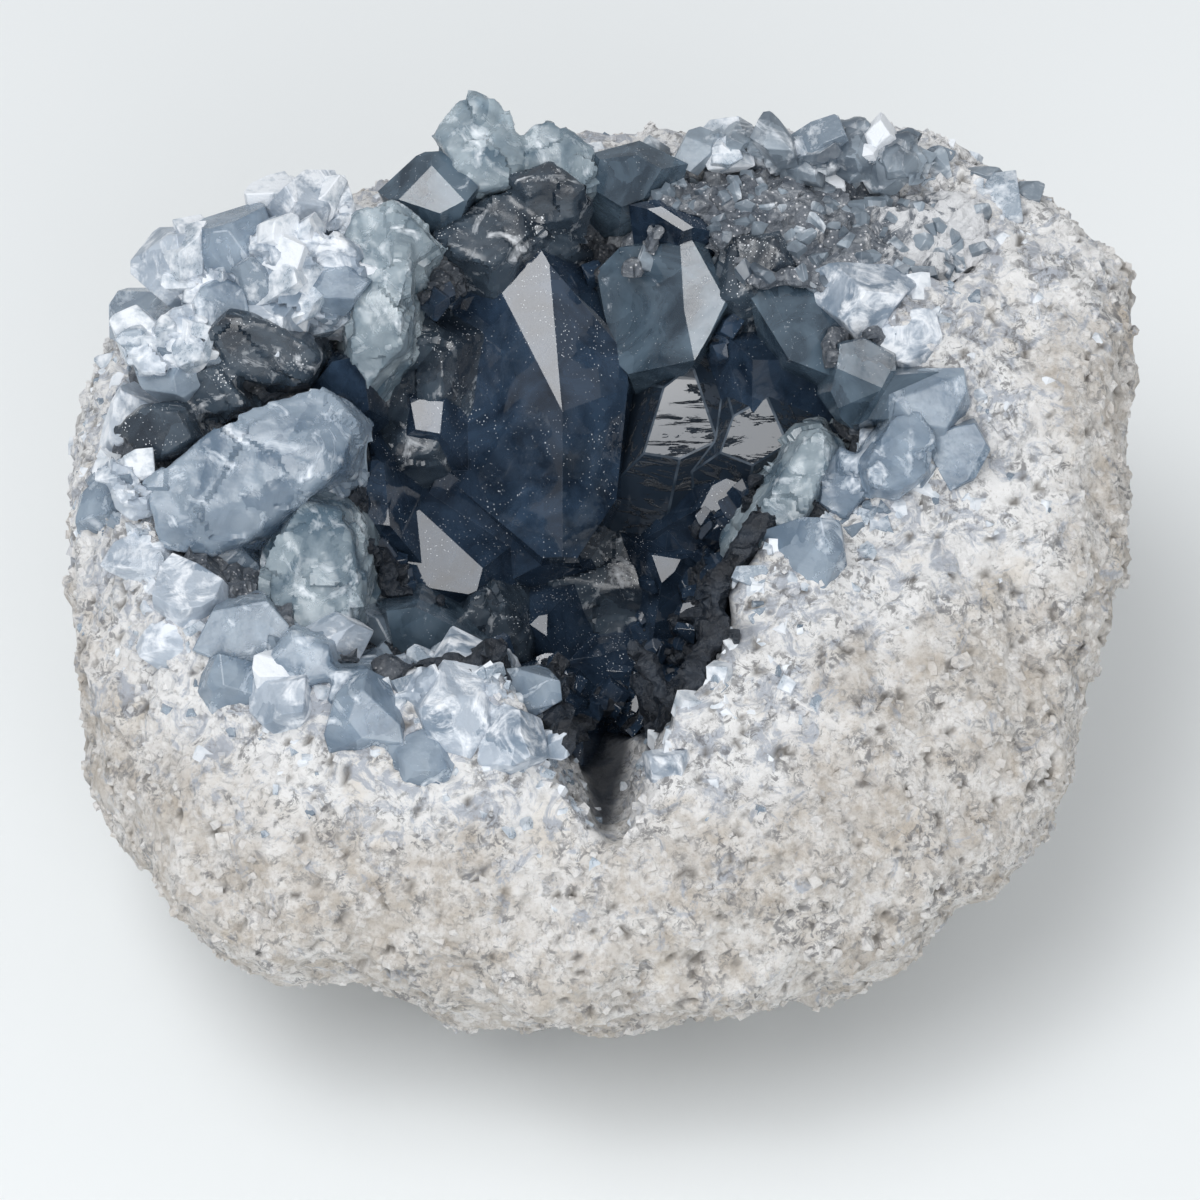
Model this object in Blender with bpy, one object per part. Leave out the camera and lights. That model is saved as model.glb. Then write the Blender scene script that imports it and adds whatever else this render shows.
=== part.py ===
"""Celestite geode: a lump of pale rock, broken open, with one crust of blue crystals in its hollow.

Shapes are worked out in millimetres in the picture's own directions: u runs right, v runs up the
picture and w comes out of it towards the eye. The last step turns them to the table's directions,
in metres, with the lump standing on its small flat spot at z = 0.
"""

import math
import random

import bmesh
import bpy
from mathutils import Matrix, Vector, noise

# Where the eye looks from, and where the u, v, w directions start
EYE_ELEVATION = math.radians(43.0)
START = Vector((-0.3, -7.1, 50.0))
MM = 0.001

# Outside of the lump: its outline as the eye sees it, every 15 degrees, anticlockwise from the right
OUTLINE_CENTRE = Vector((0.0, 5.0))
OUTLINE_RADII = (
    71, 77, 85, 80, 71, 62, 59, 58, 61, 67.5, 73, 74.5,
    72.5, 75, 75.5, 73, 64.5, 64, 64, 64, 66.5, 69, 73, 69.5,
)
MIDDLE_TILT = 0.25
FRONT_DEPTH = 28.0
FRONT_TILT = 0.40
FRONT_SQUARENESS = 3.0
BACK_DEPTH = 61.0
BACK_SQUARENESS = 2.25
LUMP_SPLITS = 5
LUMP_SHARE_KEPT = 0.62
POCKET_SPLITS = 2
LUMP_SWELLS = ((34.0, 3.0), (13.0, 2.0), (6.5, 1.1))
PIT_SPACING = 9.0
PIT_DEPTH = 1.6
LEDGE_SPACING = 11.0
LEDGE_DEPTH = 0.9

# The hollow is made of these pockets: centre and half sizes
POCKETS = (
    ((-6, 20, 18), (32, 34, 46)),
    ((0, -3, 14), (20, 18, 32)),
    ((-42, 20, 26), (24, 24, 20)),
    ((-33, 42, 16), (25, 17, 18)),
    ((25, 28, 16), (18, 20, 22)),
    ((-8, 52, 5), (19, 13, 18)),
    ((-26, -1, 24), (20, 12, 17)),
    ((11, 42, 14), (13, 15, 20)),
)
POCKET_SWELL = (14.0, 1.2)

# Shallow pockets outside the hollow that the crust fills up
SHELVES = (
    ((27, 53.5, 2), (31, 15, 8.5)),
    ((-52, 34, 9), (21, 22, 11)),
)

# The notch in the front rim, as corners of one wedge
NOTCH = (
    (-17, -7, 52), (15, -6, 50), (14, -9, 50), (4.5, -22, 50), (5.5, -33, 50), (1, -33.5, 50),
    (-9, -22, 50), (-8, -6, -8), (9, -6, -8), (0, -20, 2), (3, -30, 20), (0, -30, 20),
)

# The crust lies in the hollow with a hairline gap, and is this thick between its crystals
HAIRLINE = 0.3
CRUST_BACK = 0.7
CRUST_FACE = 3.2

# Crystals out on the rim narrow towards the rock below their top
HOLLOW_CENTRE = (-6.0, 14.0)
RIM_DISTANCE = 42.0
TUCK_BELOW = 3.5
TUCK_SLOPE = 1.1

# The sides of a crystal that stands high in the hollow or far out on the rim fall away at least this fast
HIGH_DEPTH = 10.0
FAR_DISTANCE = 46.0
STEEP_SIDE = 5.0

# Slope that many crystals share, because they grew side by side: rise along u and along v
GLINT = (0.155, -0.206)

# Small crystals on the rest of the crust
SMALL_COUNT = 46
SMALL_SPACING = 6.4
SMALL_LENGTH = (5.5, 11.5)
SMALL_WIDTH = (2.4, 4.4)
SMALL_LEAN = 0.45
SMALL_SEED = 11


def crystal(depth, slope, face, steep=3.0, root=22.0, roofs=(), outline=()):
    """One large crystal. Face is its top facet as the eye sees it, depth its w in the middle, slope its
    rise along u and v, and steep how fast the sides fall away, one value or one for each edge. Roofs are
    further facets, (u, v, w, rise along u, rise along v), and outline is where the whole crystal ends."""
    return {
        "depth": depth,
        "slope": slope,
        "face": face,
        "steep": steep,
        "root": root,
        "roofs": roofs,
        "outline": outline,
    }


# Every outline runs anticlockwise, in millimetres from the start point
LARGE_CRYSTALS = {
    "tall_prism": crystal(
        4.0, GLINT, steep=(0.35, 0.85, 2.6, 2.6), root=26,
        face=((-15, 45.3), (-5.2, 26), (-7, 46.5), (-9, 50)),
        roofs=((-5.2, 26, 7.9, 0.56, 0.0), (-5.2, 26, 7.9, -0.8, 0.0)),
        outline=(
            (-21.5, 43), (-22.5, 19), (-8, 5.5), (-3, 5.5), (2, 14), (3.5, 30), (2.5, 39),
            (-2, 46), (-9, 51),
        ),
    ),
    "kite_prism": crystal(
        6.0, GLINT, steep=(3, 1.4, 1.6, 3, 0.55, 0.4), root=24,
        face=((12, 33), (13.4, 33), (17.3, 41.2), (12.7, 49.8), (9.8, 49.2), (11.6, 40)),
        outline=(
            (3.2, 33), (7, 28.5), (13, 32.5), (17.8, 41), (13, 52), (7, 54.3), (2.5, 53),
            (0.3, 48), (1.5, 40),
        ),
    ),
    "stepped_plate": crystal(
        3.0, GLINT, steep=(1.2, 1.5, 1.0, 2.5, 2.0),
        face=((6, 20.3), (11, 19.5), (16.2, 22), (12.8, 32.6), (8.8, 29.5)),
    ),
    "ribbed_plate": crystal(
        7.5, GLINT, steep=(1.6, 2.0, 1.0, 1.2, 2.2),
        face=((16.5, 20.3), (21, 18.5), (25.8, 21.4), (23, 28), (18.3, 25.3)),
    ),
    "low_plate": crystal(
        4.0, GLINT, steep=(1.5, 1.5, 0.9, 2, 3, 2),
        face=((13.9, 12.8), (16.3, 12), (17.5, 13.3), (24.3, 18.3), (22.5, 19.5), (15.5, 15.8)),
    ),
    "chip_between_plates": crystal(
        1.0, GLINT, steep=1.5,
        face=((15.8, 27.7), (18.4, 25.4), (19, 26.3), (15.8, 29.3)),
    ),
    "bright_plate": crystal(
        3.0, GLINT, steep=(3, 2, 2, 2, 1.2, 1.0, 2.5),
        face=(
            (-26.8, 5), (-25.7, 2), (-18.2, 0.8), (-17, 1.3), (-16.2, 4.4), (-25, 12.5),
            (-26.6, 12),
        ),
    ),
    "sail": crystal(
        9.0, GLINT, steep=(2, 2.6, 2, 1.4),
        face=((-34.5, 10.8), (-28.8, 10.2), (-29.7, 18.7), (-30.6, 19.3)),
    ),
    "wing_upper": crystal(
        6.5, GLINT, steep=(2, 2, 1.0, 1.4),
        face=((-25.4, 23.5), (-22, 22.9), (-21.6, 27.3), (-26.2, 27.8)),
    ),
    "wing_lower": crystal(
        5.0, (0.21, -0.17), steep=(2, 2, 2, 1.0, 1.3),
        face=((-26.8, 19.2), (-23.2, 20), (-22, 22.7), (-27, 23.8), (-29.2, 20.3)),
    ),
    "crown_block": crystal(
        7.0, GLINT, steep=(2, 2, 2, 0.75, 0.65, 3),
        face=((-25, 51.6), (-22, 53.2), (-20, 52.5), (-18.4, 54.7), (-23.2, 59.9), (-28.2, 54.7)),
        outline=((-25, 51), (-20, 52), (-17, 57), (-22, 61.7), (-25.5, 61.5), (-30.5, 57), (-29, 54.5)),
    ),
    "small_dart": crystal(
        -1.0, GLINT, steep=(1.6, 1.2, 1.2, 2),
        face=((7.2, 6.3), (9, 1.2), (10.4, 4), (12.1, 5.5)),
    ),
    "small_chip": crystal(
        0.0, GLINT, steep=1.6,
        face=((-9.7, -3.4), (-7.4, -5), (-7.3, -2), (-8.5, -2.2)),
    ),
    "top_chip": crystal(
        6.0, GLINT, steep=(1.5, 2, 2, 1.2),
        face=((6.5, 54), (11.5, 50.8), (12.9, 51.3), (8.5, 54.3)),
    ),
    "ribbed_block": crystal(
        -6.0, (0.12, 0.42), steep=(2, 1.4, 2, 1.2, 2, 3, 2),
        face=((-6.8, -4.8), (1, -5.2), (7.5, -3), (6.5, 5.5), (4, 8), (-2, 8), (-7.5, 5.5)),
        roofs=((0, 1.5, -5.6, 0.05, -0.35),),
    ),
    "grey_block": crystal(
        4.0, (-0.4, 0.3), steep=3.0,
        face=(
            (-18.5, -2.5), (-15.5, -8), (-13, -9), (-10.7, -8), (-10.5, -5), (-12, -1.5),
            (-15.2, 1.6), (-17.6, 0.2),
        ),
    ),
    "slate_slab": crystal(
        15.0, (-0.25, 0.5), steep=2.5,
        face=((-28, -7), (-22, -9.5), (-15.5, -10), (-16, -7), (-20, -3.5), (-25, -1), (-29, -1.5)),
    ),
    "notch_block": crystal(
        17.0, (0.5, 0.3), steep=1.8, root=28,
        face=(
            (-12, -18), (-10, -23.5), (-6, -25), (-3.5, -22), (-3.5, -17), (-6, -14),
            (-10, -12.5), (-14.5, -12.5),
        ),
        roofs=((-8, -18, 17.2, -0.6, 0.2),),
    ),
    "sea_block": crystal(
        11.0, (-0.1, -0.5), steep=2.0,
        face=(
            (21, 34.5), (26, 33), (28, 29.5), (31, 31), (35, 38.5), (30, 46), (25, 44.5),
            (20, 42), (17, 37),
        ),
        roofs=((26.6, 38, 11.4, 0.45, -0.25), (28, 37, 11.4, -0.3, -0.1)),
    ),
    "navy_block": crystal(
        8.5, (0.45, -0.25), steep=2.0,
        face=((17, 42), (19, 41.5), (25, 46.5), (24, 50), (17.5, 49.5)),
    ),
    "blue_lens": crystal(
        16.0, (0.35, 0.2), steep=1.8,
        face=(
            (31.5, 28.5), (33, 25), (35, 23.5), (38, 27), (40, 31), (39.5, 33), (36, 35),
            (33, 34.5),
        ),
        roofs=((35.5, 29, 16.4, 0.1, -0.35), (35.5, 28.6, 16.4, 0.1, 0.8)),
    ),
    "blue_wedge": crystal(
        18.0, (-0.3, 0.25), steep=1.8,
        face=((36, 24), (37.5, 22), (40, 24.5), (44, 24.5), (47, 26), (46, 31), (40, 30.5)),
    ),
    "ice_tooth": crystal(
        21.0, (0.3, -0.25), steep=(1.4, 2, 3, 3, 3, 2, 1.5, 0.9, 0.9),
        face=(
            (19.3, 9), (20, 5), (25, 8), (28, 12), (29.5, 16), (31.5, 20.5), (30, 22.2),
            (26, 21.8), (22, 13),
        ),
        outline=(
            (18.5, 8), (19.5, 4.5), (25, 7), (29, 11), (32, 20.5), (30, 23), (25.5, 22.5),
            (22.8, 17),
        ),
    ),
    "cloudy_tooth": crystal(
        22.0, (-0.15, -0.3), steep=(1.2, 2, 3, 3, 2, 1.2, 1.0, 0.9),
        face=(
            (36, 18.5), (37, 15.5), (40, 14.5), (44.5, 17), (45, 22), (43, 25.5), (40, 25),
            (37.5, 21.5),
        ),
    ),
    "sand_tooth": crystal(
        20.0, (0.0, -0.35), steep=2.0,
        face=((29.5, 13), (33, 11), (37, 15), (36, 19), (32, 20.3), (29.5, 18)),
    ),
    "great_shard": crystal(
        24.5, (0.18, -0.1), steep=2.2, root=20,
        face=(
            (-61.8, 15), (-59.5, 8), (-57.5, 5.2), (-52, 7.2), (-46, 7.6), (-43, 9), (-40, 12),
            (-36.5, 13.6), (-35.2, 18), (-32.5, 20), (-32.8, 22.5), (-35, 25.5), (-39, 29),
            (-42.5, 29.8), (-46, 27.5), (-50, 24.5), (-56, 22), (-59.5, 19.5),
        ),
        roofs=(
            (-47, 17.5, 26.2, 0.12, -0.55), (-47, 16.5, 26.2, -0.02, 0.5),
            (-38, 21, 26.0, -0.55, -0.25),
        ),
    ),
    "mint_upper": crystal(
        14.5, (0.2, -0.35), steep=1.8,
        face=(
            (-34.5, 49), (-32, 45.5), (-27, 46), (-23.5, 48.8), (-26, 52), (-28.5, 54.5),
            (-31, 54.5), (-33.5, 53),
        ),
        roofs=((-30, 50.5, 15, -0.45, -0.3),),
    ),
    "mint_lower": crystal(
        18.0, (0.15, -0.3), steep=1.7, root=24,
        face=(
            (-33.5, 40), (-33.5, 33), (-30.5, 27), (-28, 28), (-27.5, 33.5), (-25, 37),
            (-21, 41), (-19, 44.5), (-20.5, 47), (-22, 48.8), (-29, 48), (-33.5, 45),
        ),
        roofs=(
            (-26, 42.5, 18.6, -0.5, 0.1), (-29.5, 40, 18.6, 0.45, -0.1),
            (-28, 36, 18.0, 0.0, 0.5),
        ),
    ),
    "mint_stump": crystal(
        25.5, (-0.1, 0.15), steep=(2, 2, 2, 2, 1.2, 1.2, 1.5, 1.3, 1.5), root=24,
        face=(
            (-45, 1), (-43, -4), (-38, -4.5), (-33.5, -3), (-33, 2), (-34, 9), (-36, 11),
            (-40, 12.5), (-44, 6),
        ),
        roofs=((-38, 5, 26.2, -0.1, -0.5), (-36, 3, 26.0, -0.7, 0.0), (-41, 5, 25.8, 0.5, -0.1)),
    ),
    "dusk_block": crystal(
        18.0, (0.35, 0.35), steep=2.0,
        face=((-56.5, 26), (-52, 25), (-48, 26.5), (-50, 29), (-52, 31.5), (-56, 31)),
    ),
    "speckled_slab": crystal(
        19.0, (-0.1, 0.5), steep=2.0,
        face=(
            (-50, 31), (-45, 29), (-40, 29.5), (-38.5, 33), (-40, 35), (-44, 37), (-50, 38.5),
            (-53, 36),
        ),
    ),
    "navy_wedge": crystal(
        14.0, (0.35, 0.4), steep=1.8,
        face=((-39.5, 29), (-34, 24.5), (-31.5, 26), (-32, 30), (-34, 33), (-36.5, 32.5)),
    ),
    "crest_knob": crystal(
        5.0, (0.1, -0.35), steep=1.4, root=24,
        face=(
            (-20, 60), (-17, 57), (-12, 58), (-11.5, 63), (-12.5, 66.5), (-14, 69), (-18, 69.6),
            (-20.5, 69), (-21.5, 67), (-23.3, 65),
        ),
        roofs=((-17, 64, 5.6, -0.5, -0.3), (-18, 64, 5.6, 0.4, -0.5), (-16, 60, 5.4, 0.0, 0.3)),
    ),
    "crest_dome": crystal(
        3.5, (0.15, -0.3), steep=1.4, root=22,
        face=((-9, 57), (-4, 55.5), (0, 58), (-1, 62), (-4, 65), (-7, 66.5), (-9, 66), (-11, 64)),
        roofs=((-6, 61, 4.2, -0.5, -0.35), (-7, 60, 4.2, 0.55, -0.2)),
    ),
    "crest_foot": crystal(
        6.0, (0.1, 0.5), steep=1.8,
        face=((-9, 52.5), (-4, 53), (-3, 56.5), (-7, 58.5), (-11, 57.5)),
    ),
    "smoky_slab": crystal(
        5.5, (0.1, -0.55), steep=2.2,
        face=((-23, 49.5), (-15, 46), (-9.5, 50.5), (-12, 57), (-16, 55.5), (-19, 53)),
    ),
    "crest_flat": crystal(
        3.0, (0.35, 0.3), steep=1.8,
        face=((-1, 57), (3, 54.5), (6, 55.5), (8.5, 59.5), (5, 61.5), (0, 61)),
    ),
    "cloud_mass": crystal(
        18.5, (0.15, 0.05), steep=1.6,
        face=(
            (-49.5, 42), (-44, 40), (-39, 38.5), (-35, 39), (-33, 43.5), (-34, 47.5),
            (-36, 49.5), (-42, 51), (-46.5, 51.3), (-48, 49),
        ),
        roofs=((-42, 46, 19.2, 0.3, -0.5), (-41, 44, 19.0, -0.35, 0.25)),
    ),
    "cloud_back": crystal(
        10.0, (0.3, -0.3), steep=1.5,
        face=((-47, 51.5), (-43, 51), (-38, 51.5), (-39, 56), (-42, 56.5), (-45, 55.5)),
    ),
    "cloud_fin": crystal(
        11.0, (-0.3, -0.2), steep=1.8,
        face=((-39, 50.5), (-35.5, 50), (-34, 52.5), (-34.5, 56), (-38, 56), (-40, 53)),
    ),
    "cloud_left": crystal(
        14.0, (0.3, -0.2), steep=1.5,
        face=((-58, 44), (-54, 41.5), (-50, 43), (-50, 50), (-54, 51.5), (-58, 49)),
    ),
    "cloud_low": crystal(
        19.5, (0.2, -0.2), steep=1.5,
        face=((-62, 31), (-57, 31), (-54, 33), (-53, 38), (-58, 40), (-64, 36)),
    ),
    "plum_block": crystal(
        20.5, (0.4, 0.3), steep=1.8,
        face=((-62, 18.5), (-58, 20), (-55, 22), (-57, 25.5), (-62, 26), (-66, 23)),
    ),
    "rim_knob": crystal(
        22.0, (0.2, -0.1), steep=1.5,
        face=((-65, 12.5), (-62, 13), (-61.5, 15.5), (-63, 18), (-66, 19.5), (-68, 17)),
    ),
    "back_ridge_left": crystal(
        1.0, (0.05, -0.5), steep=1.5,
        face=((13, 62.5), (24, 61.5), (27, 63), (26, 65.5), (20, 65.6), (16, 65)),
    ),
    "back_ridge_mid": crystal(
        0.5, (0.1, -0.4), steep=1.4,
        face=((28, 60.5), (31, 60), (38, 61), (39, 65.5), (36, 67), (31, 66), (27.5, 64.5)),
    ),
    "back_ridge_right": crystal(
        0.5, (-0.2, -0.3), steep=1.6,
        face=((38.5, 60.5), (44, 58.5), (46.5, 61), (43, 65), (39.5, 65.3)),
    ),
    "shadow_wall": crystal(
        5.0, (-0.45, 0.25), steep=2.0,
        face=((21, 26), (25, 22), (31, 22.5), (34, 30), (30, 33), (26.5, 33), (21, 33)),
    ),
    "well_right": crystal(
        -5.0, (-0.5, 0.25), steep=2.0,
        face=((8, -3.5), (13, -3.5), (15, 3), (15, 8), (12, 10.5), (5, 9), (8.5, 1)),
    ),
    "well_back": crystal(
        -7.0, (-0.4, -0.5), steep=1.8,
        face=((5, 16), (12, 10), (15, 12), (11, 19.5), (6, 20.5)),
    ),
    "well_left": crystal(
        -2.0, (0.35, 0.45), steep=2.0,
        face=((-25, 12.5), (-16, 5), (-12, 3), (-7, 5.5), (-12, 11), (-22, 18.5)),
    ),
    "rim_a": crystal(
        33.4, (0.2, -0.2), steep=1.6, root=14,
        face=((-44, -8), (-40, -11.5), (-35.5, -10), (-36, -6), (-41, -4.5)),
    ),
    "rim_b": crystal(
        33.9, (-0.1, 0.3), steep=1.6, root=14,
        face=((-36, -13.5), (-31, -15), (-28.5, -12), (-31, -9), (-35, -9.5)),
    ),
    "rim_c": crystal(
        34.6, (0.3, -0.3), steep=1.6, root=14,
        face=((-27, -13), (-21, -14.5), (-18.5, -11.5), (-22, -9.5), (-26.5, -10)),
    ),
    "rim_d": crystal(
        34.7, (0.1, 0.2), steep=1.6, root=14,
        face=((-17, -13), (-13.5, -17), (-11, -14.5), (-13.5, -11), (-16.5, -10.5)),
    ),
    "floor_slab": crystal(
        -4.0, (0.1, 0.35), steep=2.2, root=18,
        face=((-12, -9.5), (-4, -15), (1, -16), (8, -12), (14, -8.5), (2, -7.5)),
        roofs=((1, -12, -3.6, -0.3, 0.1),),
    ),
    "dusty_wall": crystal(
        6.0, (0.4, 0.2), steep=1.8,
        face=((-30, 26), (-27, 24), (-22, 28), (-21.5, 34), (-25, 36), (-28, 31)),
    ),
}


# Turning from the picture's directions to the table's


def table_matrix():
    """From u, v, w in millimetres to x, y, z in metres."""
    up, back = math.cos(EYE_ELEVATION), math.sin(EYE_ELEVATION)
    turn = Matrix(((1, 0, 0, 0), (0, back, -up, 0), (0, up, back, 0), (0, 0, 0, 1)))
    return Matrix.Scale(MM, 4) @ Matrix.Translation(START) @ turn


def table_plane():
    """The table top in u, v, w: a point on it and the direction up."""
    up = Vector((0, math.cos(EYE_ELEVATION), math.sin(EYE_ELEVATION)))
    return -START.z * up, up


# Mesh helpers


def object_from(bm, name):
    mesh = bpy.data.meshes.new(name)
    bm.to_mesh(mesh)
    bm.free()
    obj = bpy.data.objects.new(name, mesh)
    bpy.context.scene.collection.objects.link(obj)
    return obj


def combined(base, operation, others):
    """Base with the others joined to it, cut from it or kept in common. The others are used up."""
    group = bpy.data.collections.new("operands")
    bpy.context.scene.collection.children.link(group)
    for other in others:
        group.objects.link(other)
    modifier = base.modifiers.new("combine", "BOOLEAN")
    modifier.operation = operation
    modifier.solver = "EXACT"
    modifier.operand_type = "COLLECTION"
    modifier.collection = group
    graph = bpy.context.evaluated_depsgraph_get()
    mesh = bpy.data.meshes.new_from_object(base.evaluated_get(graph))
    base.modifiers.clear()
    base.data = mesh
    for other in others:
        bpy.data.objects.remove(other)
    bpy.data.collections.remove(group)
    return base


def keep_largest_body(obj):
    """Deletes crumbs that a cut has set loose."""
    bm = bmesh.new()
    bm.from_mesh(obj.data)
    bodies, seen = [], set()
    for first in bm.verts:
        if first in seen:
            continue
        body, edge_of_body = {first}, [first]
        while edge_of_body:
            for edge in edge_of_body.pop().link_edges:
                for vert in edge.verts:
                    if vert not in body:
                        body.add(vert)
                        edge_of_body.append(vert)
        seen |= body
        bodies.append(body)
    largest = max(bodies, key=len)
    bmesh.ops.delete(bm, geom=[v for v in bm.verts if v not in largest], context="VERTS")
    bm.to_mesh(obj.data)
    bm.free()


def slice_off(bm, point, outward):
    """Removes what lies beyond a plane and closes the cut with one flat face."""
    geometry = bm.verts[:] + bm.edges[:] + bm.faces[:]
    cut = bmesh.ops.bisect_plane(
        bm, geom=geometry, dist=1e-5, plane_co=point, plane_no=outward, clear_outer=True
    )
    rim = [e for e in cut["geom_cut"] if isinstance(e, bmesh.types.BMEdge) and e.is_boundary]
    if rim:
        bmesh.ops.contextual_create(bm, geom=rim)


# The rock


def outline_radius(angle):
    """Radius of the lump's outline at an angle, on a smooth curve through OUTLINE_RADII."""
    count = len(OUTLINE_RADII)
    place = (angle / (2 * math.pi) * count) % count
    index, t = int(place), place % 1
    a, b, c, d = (OUTLINE_RADII[(index + k) % count] for k in (-1, 0, 1, 2))
    return b + 0.5 * t * (c - a + t * (2 * a - 5 * b + 4 * c - d + t * (3 * (b - c) + d - a)))


def rock_relief(point):
    """How far the broken rock stands out here: swells, pits and ledges."""
    relief = sum(size * noise.noise(point / spacing) for spacing, size in LUMP_SWELLS)
    pit = noise.noise(point / PIT_SPACING + Vector((31, 7, 3)))
    relief -= PIT_DEPTH * max(0.0, pit - 0.25) / 0.3
    ledge = point.z / LEDGE_SPACING + 1.4 * noise.noise(point / 28.0)
    return relief + LEDGE_DEPTH * (abs(ledge % 1 - 0.5) * 4 - 1)


def middle_height(v):
    """Where the lump is at its widest, as the eye sees it."""
    return -MIDDLE_TILT * v


def front_height(v, share):
    """The front of the lump, a share of the way from its centre to its outline."""
    middle = middle_height(v)
    fullness = (1 - share**FRONT_SQUARENESS) ** (1 / FRONT_SQUARENESS)
    return middle + (FRONT_DEPTH - FRONT_TILT * v - middle) * fullness


def swell(bm, height):
    """Moves each corner out along its normal by its height there."""
    bm.normal_update()
    moves = [vert.normal * height(vert.co) for vert in bm.verts]
    for vert, move in zip(bm.verts, moves):
        vert.co += move


def thinned(bm, share):
    """The mesh with only a share of its faces, the flattest ones merged."""
    source = object_from(bm, "thinned")
    modifier = source.modifiers.new("thin", "DECIMATE")
    modifier.ratio = share
    graph = bpy.context.evaluated_depsgraph_get()
    kept = bmesh.new()
    kept.from_object(source, graph)
    bpy.data.objects.remove(source)
    return kept


def lump(name, grow=0.0):
    """The whole lump before it is hollowed, standing grow further out all over."""
    bm = bmesh.new()
    bmesh.ops.create_icosphere(bm, subdivisions=LUMP_SPLITS, radius=1.0)
    for vert in bm.verts:
        direction = vert.co.normalized()
        angle = math.atan2(direction.y, direction.x)
        front = direction.z > 0
        power = 2 / (FRONT_SQUARENESS if front else BACK_SQUARENESS)
        share = math.hypot(direction.x, direction.y) ** power
        radius = share * outline_radius(angle)
        u = OUTLINE_CENTRE.x + radius * math.cos(angle)
        v = OUTLINE_CENTRE.y + radius * math.sin(angle)
        back = middle_height(v) - BACK_DEPTH * abs(direction.z) ** power
        vert.co = (u, v, front_height(v, min(share, 1.0)) if front else back)
    swell(bm, rock_relief)
    bm = thinned(bm, LUMP_SHARE_KEPT)
    swell(bm, lambda _: grow)
    point, up = table_plane()
    slice_off(bm, point, -up)
    bmesh.ops.triangulate(bm, faces=bm.faces)
    return object_from(bm, name)


def pocket(name, centre, half, inset):
    """One pocket of the hollow, its wall gently swollen and standing inset further in."""
    spacing, size = POCKET_SWELL
    bm = bmesh.new()
    bmesh.ops.create_icosphere(bm, subdivisions=POCKET_SPLITS, radius=1.0)
    for vert in bm.verts:
        direction = vert.co.normalized()
        wall = Vector(centre) + Vector(d * h for d, h in zip(direction, half))
        vert.co = wall + direction * (size * noise.noise(wall / spacing) - inset)
    return object_from(bm, name)


def wedge(name, corners, inset):
    """The solid between the corners, each moved in by inset."""
    bm = bmesh.new()
    middle = sum((Vector(c) for c in corners), Vector()) / len(corners)
    for corner in corners:
        bm.verts.new(Vector(corner) + (middle - Vector(corner)).normalized() * inset * 1.6)
    bmesh.ops.convex_hull(bm, input=bm.verts)
    bmesh.ops.recalc_face_normals(bm, faces=bm.faces)
    return object_from(bm, name)


def hollow(name, inset=0.0, notch_inset=0.0, shelves=True):
    """The hollow's shape, its walls standing inset further in than the rock's own."""
    sizes = POCKETS + SHELVES if shelves else POCKETS
    made = [pocket(f"{name}_{index}", *size, inset) for index, size in enumerate(sizes)]
    return combined(made[0], "UNION", made[1:] + [wedge(f"{name}_notch", NOTCH, notch_inset)])


# The crystals


def facet_planes(spec):
    """The facets of a large crystal, as (u, v, w, rise along u, rise along v). The crystal is under all."""
    face, (rise_u, rise_v) = spec["face"], spec["slope"]
    middle_u = sum(p[0] for p in face) / len(face)
    middle_v = sum(p[1] for p in face) / len(face)
    planes = [(middle_u, middle_v, spec["depth"], rise_u, rise_v), *spec["roofs"]]
    steep = spec["steep"]
    steeps = steep if isinstance(steep, tuple) else (steep,) * len(face)
    far = math.dist((middle_u, middle_v), HOLLOW_CENTRE) > FAR_DISTANCE
    least = STEEP_SIDE if far or spec["depth"] > HIGH_DEPTH else 0.0
    for (a, b), fall in zip(zip(face, face[1:] + face[:1]), steeps):
        fall = max(fall, least)
        w = spec["depth"] + rise_u * (a[0] - middle_u) + rise_v * (a[1] - middle_v)
        out_u, out_v = outward_of(a, b)
        planes.append((*a, w, rise_u - fall * out_u, rise_v - fall * out_v))
    return planes


def outward_of(a, b):
    """The direction out of an anticlockwise outline at its edge from a to b."""
    length = math.dist(a, b)
    return (b[1] - a[1]) / length, -(b[0] - a[0]) / length


def tuck_in(bm, outline, depth):
    """Narrows a rim crystal's underside, so that it reaches the rock and not past it."""
    for a, b in zip(outline, outline[1:] + outline[:1]):
        away_u, away_v = a[0] - HOLLOW_CENTRE[0], a[1] - HOLLOW_CENTRE[1]
        distance = math.hypot(away_u, away_v)
        out_u, out_v = outward_of(a, b)
        if distance > RIM_DISTANCE and (out_u * away_u + out_v * away_v) / distance > 0.3:
            slice_off(bm, Vector((*a, depth - TUCK_BELOW)), Vector((out_u, out_v, -TUCK_SLOPE)))


def large_crystal(name, spec):
    """A block of crystal sliced along each of its facets."""
    size = 2 * max(math.dist(a, b) for a in spec["face"] for b in spec["face"]) + 30
    bm = bmesh.new()
    middle = Vector((*map(lambda p: sum(p) / len(p), zip(*spec["face"])), spec["depth"]))
    bmesh.ops.create_cube(bm, size=size, matrix=Matrix.Translation(middle))
    slice_off(bm, middle - Vector((0, 0, spec["root"])), Vector((0, 0, -1)))
    for u, v, w, rise_u, rise_v in facet_planes(spec):
        slice_off(bm, Vector((u, v, w)), Vector((-rise_u, -rise_v, 1)))
    outline = spec["outline"]
    if outline:
        for a, b in zip(outline, outline[1:] + outline[:1]):
            out_u, out_v = outward_of(a, b)
            slice_off(bm, Vector((*a, spec["depth"])), Vector((out_u, out_v, 0.12)))
    tuck_in(bm, outline or spec["face"], spec["depth"])
    bmesh.ops.triangulate(bm, faces=bm.faces)
    return object_from(bm, name)


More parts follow.
